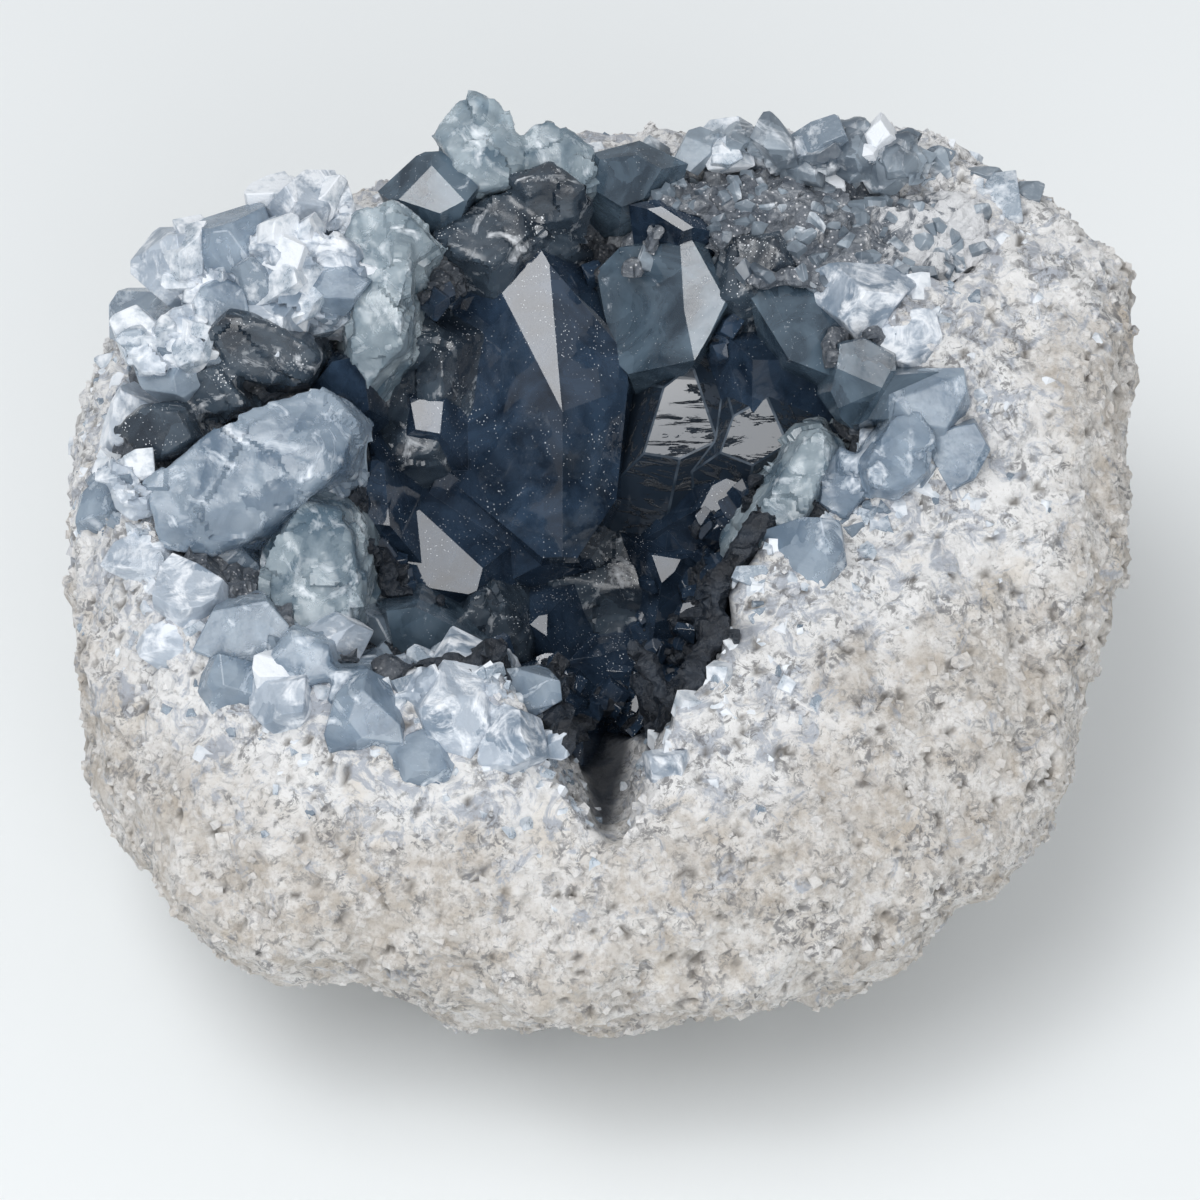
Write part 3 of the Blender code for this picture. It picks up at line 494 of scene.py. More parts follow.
def combined(base, operation, others):
    """Base with the others joined to it or cut from it. The others are used up."""
    group = bpy.data.collections.new("operands")
    bpy.context.scene.collection.children.link(group)
    for other in others:
        group.objects.link(other)
    settings = {"operation": operation, "solver": "EXACT", "operand_type": "COLLECTION", "collection": group}
    modified(base, "BOOLEAN", **settings)
    for other in others:
        bpy.data.objects.remove(other)
    bpy.data.collections.remove(group)
    return base


def remeshed(obj, voxel):
    return modified(obj, "REMESH", mode="VOXEL", voxel_size=voxel, use_smooth_shade=False)


def points_of(mesh, attribute="co"):
    count = len(mesh.vertices)
    values = np.empty(count * 3, np.float32)
    getattr(mesh, "vertices" if attribute == "co" else "vertex_normals").foreach_get(
        "co" if attribute == "co" else "vector", values
    )
    return values.reshape(-1, 3)


def raised(obj, height):
    """Moves each corner along its normal by height(point), both in millimetres."""
    mesh = obj.data
    points, normals = points_of(mesh), points_of(mesh, "normal")
    heights = np.array([height(Vector(p / MM)) for p in points], np.float32) * MM
    mesh.vertices.foreach_set("co", (points + normals * heights[:, None]).ravel())
    mesh.update()
    return obj


def stored(mesh, name, values):
    """Keeps one number for each corner of the mesh, for a material to read."""
    layer = mesh.attributes.new(name, "FLOAT", "POINT")
    layer.data.foreach_set("value", np.asarray(values, np.float32))


def finished(obj, material, node):
    """Gives a piece its material, hangs it on the body that it rides on and hides the imported part that it
    stands in for.
    """
    obj.data.materials.clear()
    obj.data.materials.append(material)
    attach(obj, BODY)
    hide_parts(node)
    return obj


# Distances to the crust, for how the rock changes near its crystals


def crust_tree():
    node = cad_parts["crystal_crust"]
    mesh = node.data.copy()
    mesh.transform(node.matrix_world)
    mesh.calc_loop_triangles()
    corners = [v.co.copy() for v in mesh.vertices]
    tree = BVHTree.FromPolygons(corners, [tuple(t.vertices) for t in mesh.loop_triangles])
    bpy.data.meshes.remove(mesh)
    return tree


CRUST = crust_tree()


def crust_distance(points):
    """Distance in millimetres from each point, in metres, to the crust."""
    return np.array([CRUST.find_nearest(Vector(p))[3] for p in points]) / MM


# Materials


class Nodes:
    """Short ways to add and join shader nodes."""

    def __init__(self, name):
        self.material = bpy.data.materials.new(name)
        self.material.use_nodes = True
        self.tree = self.material.node_tree
        self.shader = self.tree.nodes["Principled BSDF"]
        self.output = self.tree.nodes["Material Output"]
        self.place = self.add("ShaderNodeTexCoord").outputs["Object"]

    def add(self, kind, inputs=None, **settings):
        node = self.tree.nodes.new(kind)
        for key, value in settings.items():
            setattr(node, key, value)
        for key, value in (inputs or {}).items():
            self.put(node.inputs[key], value)
        return node

    def put(self, socket, value):
        if isinstance(value, bpy.types.NodeSocket):
            self.tree.links.new(value, socket)
        else:
            socket.default_value = value

    def noise(self, size_mm, detail=4.0, roughness=0.55, distortion=0.0, where=None):
        return self.add(
            "ShaderNodeTexNoise",
            {
                "Vector": where or self.place,
                "Scale": 1 / (size_mm * MM),
                "Detail": detail,
                "Roughness": roughness,
                "Distortion": distortion,
            },
        ).outputs["Fac"]

    def cells(self, size_mm, output="Distance", where=None):
        inputs = {"Vector": where or self.place, "Scale": 1 / (size_mm * MM)}
        return self.add("ShaderNodeTexVoronoi", inputs).outputs[output]

    def warped(self, size_mm, reach_mm):
        """The place, pushed about by up to half the reach, so that a pattern read there is uneven."""
        push = self.mix(1.0, self.noise(size_mm, 3, 0.6), (reach_mm * MM,) * 3, "MULTIPLY")
        moved = self.add("ShaderNodeVectorMath", operation="ADD")
        self.put(moved.inputs[0], self.place)
        self.put(moved.inputs[1], push)
        return moved.outputs["Vector"]

    def steps(self, value, *stops):
        """A colour ramp through (place, colour) stops."""
        ramp = self.add("ShaderNodeValToRGB", {"Fac": value})
        elements = ramp.color_ramp.elements
        while len(elements) < len(stops):
            elements.new(0.5)
        for element, (position, colour) in zip(elements, stops):
            element.position = position
            element.color = (*colour, 1)
        return ramp.outputs["Color"]

    def mix(self, share, a, b, blend="MIX"):
        node = self.add("ShaderNodeMix", data_type="RGBA", blend_type=blend)
        self.put(node.inputs["Factor"], share)
        for socket, value in ((node.inputs[6], a), (node.inputs[7], b)):
            self.put(socket, (*value, 1) if isinstance(value, tuple) else value)
        return node.outputs[2]

    def math(self, operation, a, b):
        node = self.add("ShaderNodeMath", operation=operation)
        self.put(node.inputs[0], a)
        self.put(node.inputs[1], b)
        return node.outputs[0]

    def plus(self, a, b):
        return self.math("ADD", a, b)

    def times(self, a, b):
        return self.math("MULTIPLY", a, b)

    def span(self, value, low, high, out_low=0.0, out_high=1.0):
        """The value's place between low and high, kept inside the two outputs."""
        return self.add(
            "ShaderNodeMapRange",
            {"Value": value, "From Min": low, "From Max": high, "To Min": out_low, "To Max": out_high},
        ).outputs["Result"]

    def kept(self, name):
        return self.add("ShaderNodeAttribute", attribute_name=name).outputs["Fac"]

    def bump(self, height, depth_mm):
        inputs = {"Height": height, "Distance": depth_mm * MM, "Strength": 1.0}
        return self.add("ShaderNodeBump", inputs).outputs["Normal"]

    def set(self, **inputs):
        for key, value in inputs.items():
            name = key.replace("_", " ").title().replace("Ior", "IOR")
            if isinstance(value, tuple) and len(value) == 3:
                value = (*value, 1)
            self.put(self.shader.inputs[name], value)

    def absorb(self, colour, per_metre):
        volume = self.add("ShaderNodeVolumeAbsorption", {"Color": (*colour, 1), "Density": per_metre})
        self.tree.links.new(volume.outputs["Volume"], self.output.inputs["Volume"])


def rock_material(settings):
    """Chalky white grains with grey glassy ones between them, beige on the weathered outside and dark in the
    hollow, with painted shade in the pits, which are darkened to brownish grey. Reads the numbers kept on the
    mesh: hollow, far, pit and pick."""
    n = Nodes("pale_rock")
    white, beige = tuple(settings.white), tuple(settings.beige)
    hollow, far, pit, own = n.kept("hollow"), n.kept("far"), n.kept("pit"), n.kept("pick")
    weather = n.plus(n.times(far, 0.50), n.times(n.noise(15, 6, 0.65), 1.15))
    skin = n.span(weather, 0.68, 0.96)
    halfway = tuple(0.5 * (a + b) for a, b in zip(beige, white))
    warm = n.mix(n.span(n.noise(3.4, 4, 0.6), 0.38, 0.66), beige, halfway)
    base = n.mix(skin, white, warm)
    powder = n.span(n.noise(4.5, 6, 0.7), 0.44, 0.60)
    base = n.mix(n.times(powder, 0.62), base, tuple(settings.powder))
    cream = n.span(n.noise(8.5, 4, 0.6, 0.5), 0.58, 0.72)
    base = n.mix(n.times(cream, 0.35), base, (0.70, 0.60, 0.46))
    glassy = n.span(n.math("SUBTRACT", n.noise(4.2, 7, 0.72, 1.1), n.times(far, 0.10)), 0.47, 0.56)
    base = n.mix(n.times(glassy, 0.72), base, (0.38, 0.43, 0.52))
    dots = n.plus(n.noise(0.95, 4, 0.75), n.times(skin, 0.07))
    base = n.mix(n.span(dots, 0.57, 0.70, 0.0, 0.45), base, (0.38, 0.34, 0.30))
    cluster = n.span(n.noise(6.5, 5, 0.7, 0.6), 0.44, 0.58)
    grey = n.times(n.span(n.noise(1.6, 6, 0.75, 0.8), 0.50, 0.56), cluster)
    base = n.mix(n.times(grey, 0.8), base, tuple(settings.glassy))
    # Painted shade: the pits are darkened towards brownish grey by their depth, standing in for the shade
    # that falls inside them
    base = n.mix(n.times(pit, 0.85), base, (0.17, 0.155, 0.14))
    base = n.mix(n.span(own, 0.0, 1.0, 0.0, 0.45), base, (0.92, 0.92, 0.93))
    base = n.mix(hollow, base, (0.020, 0.028, 0.042))
    relief = n.plus(n.times(n.cells(0.9), 0.4), n.noise(0.9, 8, 0.8))
    n.set(
        base_color=base,
        roughness=n.span(n.math("MAXIMUM", grey, glassy), 0.0, 1.0, 0.9, 0.42),
        normal=n.bump(relief, 0.5),
        specular_ior_level=0.4,
    )
    return n.material


def chip_material(settings):
    """Broken, half clear crystal along the rim: ice blue to milky white."""
    n = Nodes("rim_chips")
    own = n.kept("pick")
    milk = n.span(n.plus(n.noise(2.2, 5, 0.65), n.times(own, 0.34)), 0.54, 0.76)
    clear = n.steps(own, (0.0, (0.24, 0.31, 0.39)), (0.25, (0.40, 0.49, 0.59)), (1.0, tuple(settings.pale)))
    n.set(
        base_color=n.mix(milk, clear, (0.80, 0.84, 0.89)),
        transmission_weight=n.span(milk, 0.0, 1.0, 0.35, 0.05),
        roughness=n.span(milk, 0.0, 1.0, 0.22, 0.6),
        ior=CELESTITE_IOR,
        normal=n.bump(n.noise(0.9, 4, 0.6), 0.2),
    )
    return n.material


def upward_share(n):
    """How far the surface faces up, from -1 to 1."""
    normal = n.add("ShaderNodeNewGeometry").outputs["Normal"]
    return n.add("ShaderNodeSeparateXYZ", {"Vector": normal}).outputs["Z"]


def dust_specks(n, amount):
    """White specks that have settled on the faces, thicker in patches."""
    patch = n.plus(n.noise(6, 3, 0.6), n.times(upward_share(n), 0.16))
    coarse = n.math("LESS_THAN", n.cells(1.1), n.span(patch, 0.48, 0.85, 0.01, 0.15 * amount))
    fine = n.math("LESS_THAN", n.cells(0.5), n.span(patch, 0.46, 0.80, 0.02, 0.24 * amount))
    return n.math("MAXIMUM", coarse, fine)


def crystal_material(name, dark, light, absorb, per_metre, clear, milk, dust, ripple_mm):
    """Crystal that is partly see-through and darkens with depth. Dark and light are its two tones, clear its
    share of plain transmission, milk its share of white patches and dust its share of specks."""
    n = Nodes(name)
    cells = n.cells(5.5, "Color", n.warped(2.5, 3.0))
    shard = n.add("ShaderNodeSeparateColor", {"Color": cells}).outputs[0]
    cloud = n.plus(n.noise(8, 5, 0.62, 0.7), n.times(shard, 0.10 + 0.25 * milk))
    body = n.mix(n.span(cloud, 0.40 + 0.06 * milk, 0.72 + 0.08 * milk), dark, light)
    patch = n.plus(n.noise(5.5, 6, 0.68, 1.0), n.times(n.noise(1.3, 3), 0.2))
    white = n.span(patch, 0.80 - 0.26 * milk, 0.90 - 0.20 * milk)
    cover = n.times(white, 0.35 + 0.6 * milk)
    cover = n.math("MAXIMUM", cover, n.times(dust_specks(n, dust), 0.8))
    ripples = n.plus(n.noise(ripple_mm, 3, 0.5), n.times(white, 0.5 * milk))
    n.set(
        base_color=n.mix(cover, body, (0.84, 0.87, 0.91)),
        transmission_weight=n.span(cover, 0.0, 0.7, clear, 0.0),
        roughness=n.span(cover, 0.0, 0.8, 0.035 + 0.42 * min(milk, 0.9), 0.6),
        ior=CELESTITE_IOR,
        normal=n.bump(ripples, 0.03 + 0.22 * milk),
    )
    n.absorb(absorb, per_metre)
    return n.material


def ribbed_material(name, absorb, per_metre):
    """The deep crystal's look with uneven ribs across it, which break up what its bright faces mirror."""
    n = Nodes(name)
    along = n.add("ShaderNodeMapping", {"Vector": n.place, "Rotation": RIB_TURN, "Scale": RIB_STRETCH})
    ribs = n.noise(5.0, 6, 0.7, 0.9, where=along.outputs["Vector"])
    groove = n.span(ribs, 0.54, 0.62)
    n.set(
        base_color=n.mix(groove, (0.022, 0.034, 0.052), (0.05, 0.06, 0.075)),
        roughness=n.span(groove, 0.0, 1.0, 0.05, 0.42),
        ior=CELESTITE_IOR,
        normal=n.bump(groove, 0.35),
    )
    n.absorb(absorb, per_metre)
    return n.material


def edge_material(name, dark, light):
    """The thin worn edges between the faces of a crystal, whitish in places."""
    n = Nodes(name)
    worn = n.span(n.noise(3.5, 4, 0.6), 0.42, 0.66)
    n.set(base_color=n.mix(worn, dark, light), roughness=0.3, ior=CELESTITE_IOR)
    return n.material


def bed_material():
    """The lining between the large crystals: nearly black in the hollow, grey and speckled on the back."""
    n = Nodes("crust_bed")
    pale = n.kept("pale")
    dark = n.mix(n.span(n.noise(4, 4), 0.35, 0.65), (0.006, 0.009, 0.015), (0.020, 0.030, 0.046))
    streak = n.noise(3.8, 6, 0.7, 1.4)
    bands = ((0.36, (0.070, 0.088, 0.115)), (0.52, (0.16, 0.18, 0.21)), (0.66, (0.38, 0.40, 0.43)))
    grey = n.steps(streak, *bands)
    powder = n.plus(n.noise(4.5, 7, 0.72, 1.3), n.times(n.kept("powdered"), 0.30))
    white = n.span(powder, 0.60, 0.68)
    grey = n.mix(n.times(white, 0.85), grey, (0.80, 0.81, 0.83))
    grey = n.mix(n.math("LESS_THAN", n.cells(0.8), 0.2), grey, (0.70, 0.71, 0.74))
    colour = n.mix(pale, dark, grey)
    n.set(
        base_color=colour,
        roughness=n.span(n.noise(1.5, 3), 0.35, 0.65, 0.15, 0.55),
        normal=n.bump(n.plus(n.cells(1.4), n.noise(1.2, 6, 0.75)), 0.5),
        ior=1.6,
    )
    return n.material


def floor_material(settings):
    n = Nodes("floor")
    tone = tuple(settings.floor)
    n.set(base_color=n.mix(n.noise(60, 2), tone, tuple(c * 0.995 for c in tone)), roughness=0.7)
    return n.material


# Relief


def tilted_cells(point, size):
    """Height of small broken faces, each flat and tilted its own way, for about one size of face."""
    _, centres = noise.voronoi(point / size)
    tilt = noise.cell_vector(centres[0] * 17.3) - Vector((0.5, 0.5, 0.5))
    return max(-0.5, min(0.5, tilt.dot(point / size - centres[0]))) * size


def smooth_step(low, high, values):
    t = np.clip((values - low) / (high - low), 0, 1)
    return t * t * (3 - 2 * t)


def pit_depth(point):
    """How deep a pit goes here, from 0 to 1. The rock's colour is also darkened by it, as painted shade in
    the pits.
    """
    value = noise.noise(point / 2.2 + Vector((9.1, 4.7, 2.2))) + 0.5 * noise.noise(point / 1.1)
    return min(1.0, max(0.0, (value - 0.45) / 0.2))


def rock_height(point):
    """Relief in millimetres on the broken rock."""
    swell = noise.noise(point / 9.0) * 0.9 + noise.noise(point / 4.0) * 0.5 + noise.noise(point / 1.9) * 0.35
    return swell + 0.55 * tilted_cells(point, 2.6) - 0.15


def seen_from_eye(points):
    """The points, in metres, as u, v, w in millimetres."""
    eye = np.array(eye_to_row().inverted())
    return points @ eye[:3, :3].T + eye[:3, 3]


def notch_of(points):
    """1 in the dark notch that runs down from the hollow through the front rim, 0 away from it."""
    seen = seen_from_eye(points)
    across = 1 - smooth_step(*NOTCH_HALF_WIDTH, np.abs(seen[:, 0] - NOTCH_U))
    return across * (1 - smooth_step(*NOTCH_TOP, seen[:, 1]))


def notch_tip(points):
    """1 on the rock inside the lower end of the notch, 0 away from it."""
    seen = seen_from_eye(points)
    u, v = seen[:, 0], seen[:, 1]
    off_middle = np.abs(u - NOTCH_TIP_U) + 0.25 * np.maximum(-20.0 - v, 0)
    narrow = 1 - smooth_step(*NOTCH_TIP_HALF_WIDTH, off_middle)
    return narrow * (1 - smooth_step(*NOTCH_TIP_TOP, v)) * smooth_step(*NOTCH_TIP_FOOT, v)


def spread_of(points):
    """How far out from the middle of the hollow each point is seen, where 1 is about its rim."""
    seen = seen_from_eye(points)
    return np.hypot((seen[:, 0] - MIDDLE[0]) / MIDDLE_REACH, (seen[:, 1] - MIDDLE[1]) / MIDDLE_REACH)


# The rock


def build_rock(settings):
    rock = remeshed(welded(copy_of(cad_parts["matrix"], "rock")), settings.voxel * MM)
    rock = modified(rock, "SMOOTH", factor=0.5, iterations=4)
    mesh = rock.data
    points, normals = points_of(mesh), points_of(mesh, "normal")
    distance = crust_distance(points)
    deep = np.maximum(1 - smooth_step(*DARK_SPREAD, spread_of(points)), notch_of(points))
    hollow = np.maximum((1 - smooth_step(*DARK_DISTANCE, distance)) * deep, 0.9 * notch_tip(points))
    millimetres = [Vector(p / MM) for p in points]
    # The pits are sunk into the relief, and their depth also darkens the rock's colour as painted shade
    pit = np.array([pit_depth(p) for p in millimetres]) * (1 - hollow)
    height = np.array([rock_height(p) for p in millimetres]) * (1 - 0.85 * hollow) - 0.6 * pit
    moved = points + normals * (height * MM)[:, None]
    moved[:, 2] = np.where(points[:, 2] < 0.9 * MM, np.minimum(moved[:, 2], points[:, 2]), moved[:, 2])
    moved[:, 2] = np.maximum(moved[:, 2], 0.0)
    mesh.vertices.foreach_set("co", moved.astype(np.float32).ravel())
    mesh.update()
    mesh.shade_smooth()
    stored(mesh, "hollow", hollow)
    stored(mesh, "far", smooth_step(4.0, 30.0, distance))
    stored(mesh, "near", np.exp(-distance / 7.0))
    stored(mesh, "pit", pit)
    stored(mesh, "pick", np.zeros(len(points)))
    return finished(rock, rock_material(settings), "matrix")


# Grains, chips and blocks: a few are modelled, then copied to many places in one mesh


def cut(point, outward):
    """In edit mode, removes what lies beyond a plane and closes the cut with one flat face."""
    bpy.ops.mesh.select_all(action="SELECT")
    bpy.ops.mesh.bisect(
        plane_co=point, plane_no=outward.normalized(), use_fill=True, clear_outer=True, threshold=1e-5
    )


def random_direction(chance):
    return Vector((chance.gauss(0, 1), chance.gauss(0, 1), chance.gauss(0, 1))).normalized()


def random_turn(chance):
    return Matrix.Rotation(chance.uniform(0, 2 * math.pi), 4, random_direction(chance))


def chip_shape(name, chance, cuts=5, squash=(1.0, 0.8, 0.7), edge=0.0):
    """A broken block about one unit across: a cube cut by slanted planes, with its edges eased."""
    deselect()
    bpy.ops.mesh.primitive_cube_add(size=1.0)
    obj = bpy.context.object
    obj.name = name
    bpy.ops.object.mode_set(mode="EDIT")
    for _ in range(cuts):
        outward = random_direction(chance)
        cut(outward * chance.uniform(0.36, 0.52), outward)
    if edge:
        bpy.ops.mesh.select_all(action="SELECT")
        bpy.ops.mesh.bevel(offset=edge, segments=1)
    bpy.ops.mesh.select_all(action="SELECT")
    bpy.ops.mesh.quads_convert_to_tris()
    bpy.ops.object.mode_set(mode="OBJECT")
    obj.data.transform(Matrix.Diagonal((*squash, 1)))
    return obj


def scattered(name, shapes, places, numbers):
    """One mesh of many copies of the shapes, each turned and sized by its own matrix. Numbers gives each
    copy a value for every attribute."""
    corners, faces, owners, start = [], [], [], 0
    outlines = []
    for shape in shapes:
        mesh = shape.data
        mesh.calc_loop_triangles()
        outlines.append((points_of(mesh), np.array([t.vertices for t in mesh.loop_triangles])))
        bpy.data.objects.remove(shape)
    for index, place in enumerate(places):
        points, triangles = outlines[index % len(outlines)]
        matrix = np.array(place)
        corners.append(points @ matrix[:3, :3].T + matrix[:3, 3])
        faces.append(triangles + start)
        owners.append(np.full(len(points), index))
        start += len(points)
    mesh = bpy.data.meshes.new(name)
    mesh.from_pydata(np.concatenate(corners).tolist(), [], np.concatenate(faces).tolist())
    obj = linked(name, mesh)
    owners = np.concatenate(owners)
    for key, values in numbers.items():
        stored(mesh, key, np.asarray(values)[owners])
    return edited(obj, bpy.ops.mesh.normals_make_consistent, inside=False)


def kept_numbers(mesh, name):
    values = np.empty(len(mesh.vertices), np.float32)
    mesh.attributes[name].data.foreach_get("value", values)
    return values


def build_grains(settings):
    """Grains half sunk in the rock's outside, each with the rock's own look where it lies."""
    chance = random.Random(5)
    rock = bpy.data.objects["rock"].data
    points, normals = points_of(rock), points_of(rock, "normal")
    hollow, far, pit = (kept_numbers(rock, name) for name in ("hollow", "far", "pit"))
    free = np.nonzero((hollow < 0.05) & (points[:, 2] > 1.5 * MM) & (pit < 0.2))[0]
    chosen = chance.sample(list(free), settings.grains)
    places = []
    for index in chosen:
        size = chance.uniform(0.6, 1.5) * (1.6 if chance.random() < 0.10 else 1.0)
        place = Vector(points[index]) - Vector(normals[index]) * size * 0.22 * MM
        places.append(Matrix.Translation(place) @ random_turn(chance) @ Matrix.Scale(size * MM, 4))
    # Each grain keeps the rock's numbers where it lies, the painted shade of the pits among them
    numbers = {"hollow": hollow[chosen], "far": far[chosen], "pit": pit[chosen]}
    numbers["pick"] = [chance.random() for _ in chosen]
    shapes = [chip_shape(f"grain_{i}", chance, 2) for i in range(5)]
    grains = scattered("rock_grains", shapes, places, numbers)
    return finished(grains, bpy.data.materials["pale_rock"], "matrix")


def rim_places(chance, count, smallest, largest, power, sink, spacing, others=()):
    """Places on the rock near the crust and on other pieces, each a matrix, with fewer and smaller ones
    further out."""
    rock = bpy.data.objects["rock"].data
    points, normals, near = points_of(rock), points_of(rock, "normal"), kept_numbers(rock, "near")
    open_rock = (kept_numbers(rock, "hollow") < 0.9) & (points[:, 2] > 0.03) & (near > 0.05)
    points, normals, near = points[open_rock], normals[open_rock], near[open_rock]
    for name in others:
        mesh = bpy.data.objects[name].data
        points = np.concatenate([points, points_of(mesh)])
        normals = np.concatenate([normals, points_of(mesh, "normal")])
        near = np.concatenate([near, np.full(len(mesh.vertices), 0.85)])
    order = list(range(len(points)))
    chance.shuffle(order)
    places, taken = [], []
    for index in order:
        if len(places) == count:
            break
        if chance.random() > near[index] ** power:
            continue
        size = chance.uniform(smallest, largest) * (0.45 + 0.6 * float(near[index]))
        point = Vector(points[index])
        if point.x > 0 and chance.random() < 0.4:
            continue
        if spacing and any((point - other).length < spacing * size * MM for other in taken):
            continue
        taken.append(point)
        place = point - Vector(normals[index]) * size * sink * MM
        places.append(Matrix.Translation(place) @ random_turn(chance) @ Matrix.Scale(size * MM, 4))
    return places


def scattered_blocks(name, places, chance, material, kinds, cuts, squash=(1.0, 0.8, 0.7), edge=0.0):
    """A piece made of broken blocks of crystal, of so many kinds, one at each place."""
    shapes = [chip_shape(f"{name}_{i}", chance, cuts, squash, edge) for i in range(kinds)]
    made = scattered(name, shapes, places, {"pick": [chance.random() for _ in places]})
    return finished(made, material, "crystal_crust")


def build_chips(settings):
    """Broken pieces of pale crystal in the rock along the rim of the hollow, small ones and blocks."""
    chance = random.Random(8)
    material = chip_material(settings)
    places = rim_places(chance, settings.chips, 1.0, 4.4, 1.0, 0.32, 0)
    scattered_blocks("rim_chips", places, chance, material, 6, 4)
    others = ("milky_crystals", "ridge_crystals")
    places = rim_places(chance, settings.blocks, 4.0, 10.0, 2.0, 0.34, 0.42, others)
    scattered_blocks("rim_blocks", places, chance, material, 12, 12, edge=0.02)


def build_rim_crystals(name, spots, material):
    """The larger broken blocks along the rim, each set where the eye sees it and sunk in what is there."""
    chance = random.Random(12)
    trees = []
    for under in ("rock", "crust_bed", "milky_crystals", "ridge_crystals"):
        mesh = bpy.data.objects[under].data
        faces = [tuple(f.vertices) for f in mesh.polygons]
        trees.append(BVHTree.FromPolygons([v.co for v in mesh.vertices], faces))
    turn, toward = eye_to_row(), direction_of(0, 0, 1)
    places = []
    for u, v, size in spots:
        start = turn @ Vector((u, v, RAY_START))
        hits = [tree.ray_cast(start, -toward)[0] for tree in trees]
        near = max((hit for hit in hits if hit), key=lambda hit: hit.dot(toward))
        lift = (toward * chance.uniform(*RIM_LIFT) - Vector((0, 0, RIM_DROP))) * size * MM
        places.append(Matrix.Translation(near + lift) @ random_turn(chance) @ Matrix.Scale(size * MM, 4))
    scattered_blocks(name, places, chance, bpy.data.materials[material], 14, 13, (1.0, 0.8, 0.75), 0.012)


# The crystals


def facet_planes(spec):
    """The facets of a large crystal, as (u, v, w, rise along u, rise along v). The crystal is under all."""
    face, (rise_u, rise_v) = spec["face"], spec["slope"]
    middle_u = sum(p[0] for p in face) / len(face)
    middle_v = sum(p[1] for p in face) / len(face)
    planes = [(middle_u, middle_v, spec["depth"], rise_u, rise_v), *spec["roofs"]]
    steep = spec["steep"]
    steeps = steep if isinstance(steep, tuple) else (steep,) * len(face)
    far = math.dist((middle_u, middle_v), HOLLOW_CENTRE) > FAR_DISTANCE
    least = STEEP_SIDE if far or spec["depth"] > HIGH_DEPTH else 0.0
    for (a, b), fall in zip(zip(face, face[1:] + face[:1]), steeps):
        fall = max(fall, least)
        w = spec["depth"] + rise_u * (a[0] - middle_u) + rise_v * (a[1] - middle_v)
        out_u, out_v = outward_of(a, b)
        planes.append((*a, w, rise_u - fall * out_u, rise_v - fall * out_v))
    return planes


def without_repeats(planes):
    """The planes, less any that lies on an earlier one, because a second cut there opens the mesh."""
    kept = []
    for point, outward in planes:
        normal = outward.normalized()
        if all(normal.dot(other) < 0.9999 or abs((point - at).dot(other)) > 0.01 for at, other in kept):
            kept.append((point, normal))
    return kept


def large_crystal(name, spec, grown=0.0):
    """A block of crystal cut along each of its facets, in millimetres in the eye's directions. Grown moves
    every facet that far out."""
    face, outline, depth = spec["face"], spec["outline"], spec["depth"]
    size = 2 * max(math.dist(a, b) for a in face for b in face) + 30
    middle = Vector((sum(p[0] for p in face) / len(face), sum(p[1] for p in face) / len(face), depth))
    planes = [(middle - Vector((0, 0, spec["root"])), Vector((0, 0, -1)))]
    for u, v, w, rise_u, rise_v in facet_planes(spec):
        planes.append((Vector((u, v, w)), Vector((-rise_u, -rise_v, 1))))
    for a, b in zip(outline, outline[1:] + outline[:1]):
        planes.append((Vector((*a, depth)), Vector((*outward_of(a, b), 0.12))))
    edge = outline or face
    for a, b in zip(edge, edge[1:] + edge[:1]):
        away = Vector((a[0] - HOLLOW_CENTRE[0], a[1] - HOLLOW_CENTRE[1]))
        out = Vector(outward_of(a, b))
        if away.length > RIM_DISTANCE and out.dot(away.normalized()) > 0.3:
            planes.append((Vector((*a, depth - TUCK_BELOW)), Vector((*out, -TUCK_SLOPE))))
    deselect()
    bpy.ops.mesh.primitive_cube_add(size=size, location=middle)
    obj = bpy.context.object
    obj.name = name
    bpy.ops.object.transform_apply(location=True)
    bpy.ops.object.mode_set(mode="EDIT")
    for point, outward in without_repeats(planes):
        cut(point + grown * outward, outward)
    bpy.ops.object.mode_set(mode="OBJECT")
    obj.data.transform(eye_to_row())
    return obj


def crystals_of(*looks, grown=0.0):
    chosen = [item for item in LARGE_CRYSTALS.items() if item[1]["look"] in looks]
    return [large_crystal(name, spec, grown) for name, spec in chosen]


def build_bed():
    """The dark lining between the large crystals: the crust's solid with them taken out of it."""
    bed = welded(copy_of(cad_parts["crystal_crust"], "crust_bed"))
    bed = combined(bed, "DIFFERENCE", crystals_of(*LOOKS, grown=0.08))
    bed = remeshed(bed, 0.75 * MM)
    bed = modified(bed, "SMOOTH", factor=0.5, iterations=2)
    points = points_of(bed.data)
    seen = seen_from_eye(points)
    pale = smooth_step(*PALE_V, seen[:, 1]) * smooth_step(*PALE_U, seen[:, 0])
    pale = np.maximum(pale, smooth_step(*PALE_SPREAD, spread_of(points)) * 0.7)
    pale = pale * (1 - notch_of(points))
    powdered = smooth_step(*POWDERED_U, seen[:, 0]) * smooth_step(*POWDERED_V, seen[:, 1])

    def height(point):
        return 0.9 * tilted_cells(point, 3.4) + 0.5 * noise.noise(point / 2.0) + 0.25

    bed = raised(bed, height)
    stored(bed.data, "pale", pale)
    stored(bed.data, "powdered", powdered)
    return finished(bed, bed_material(), "crystal_crust")


def united(look, name):
    """All the crystals of one kind as one solid."""
    solids = crystals_of(look)
    group = combined(solids[0], "UNION", solids[1:])
    group.name = group.data.name = name
    return group


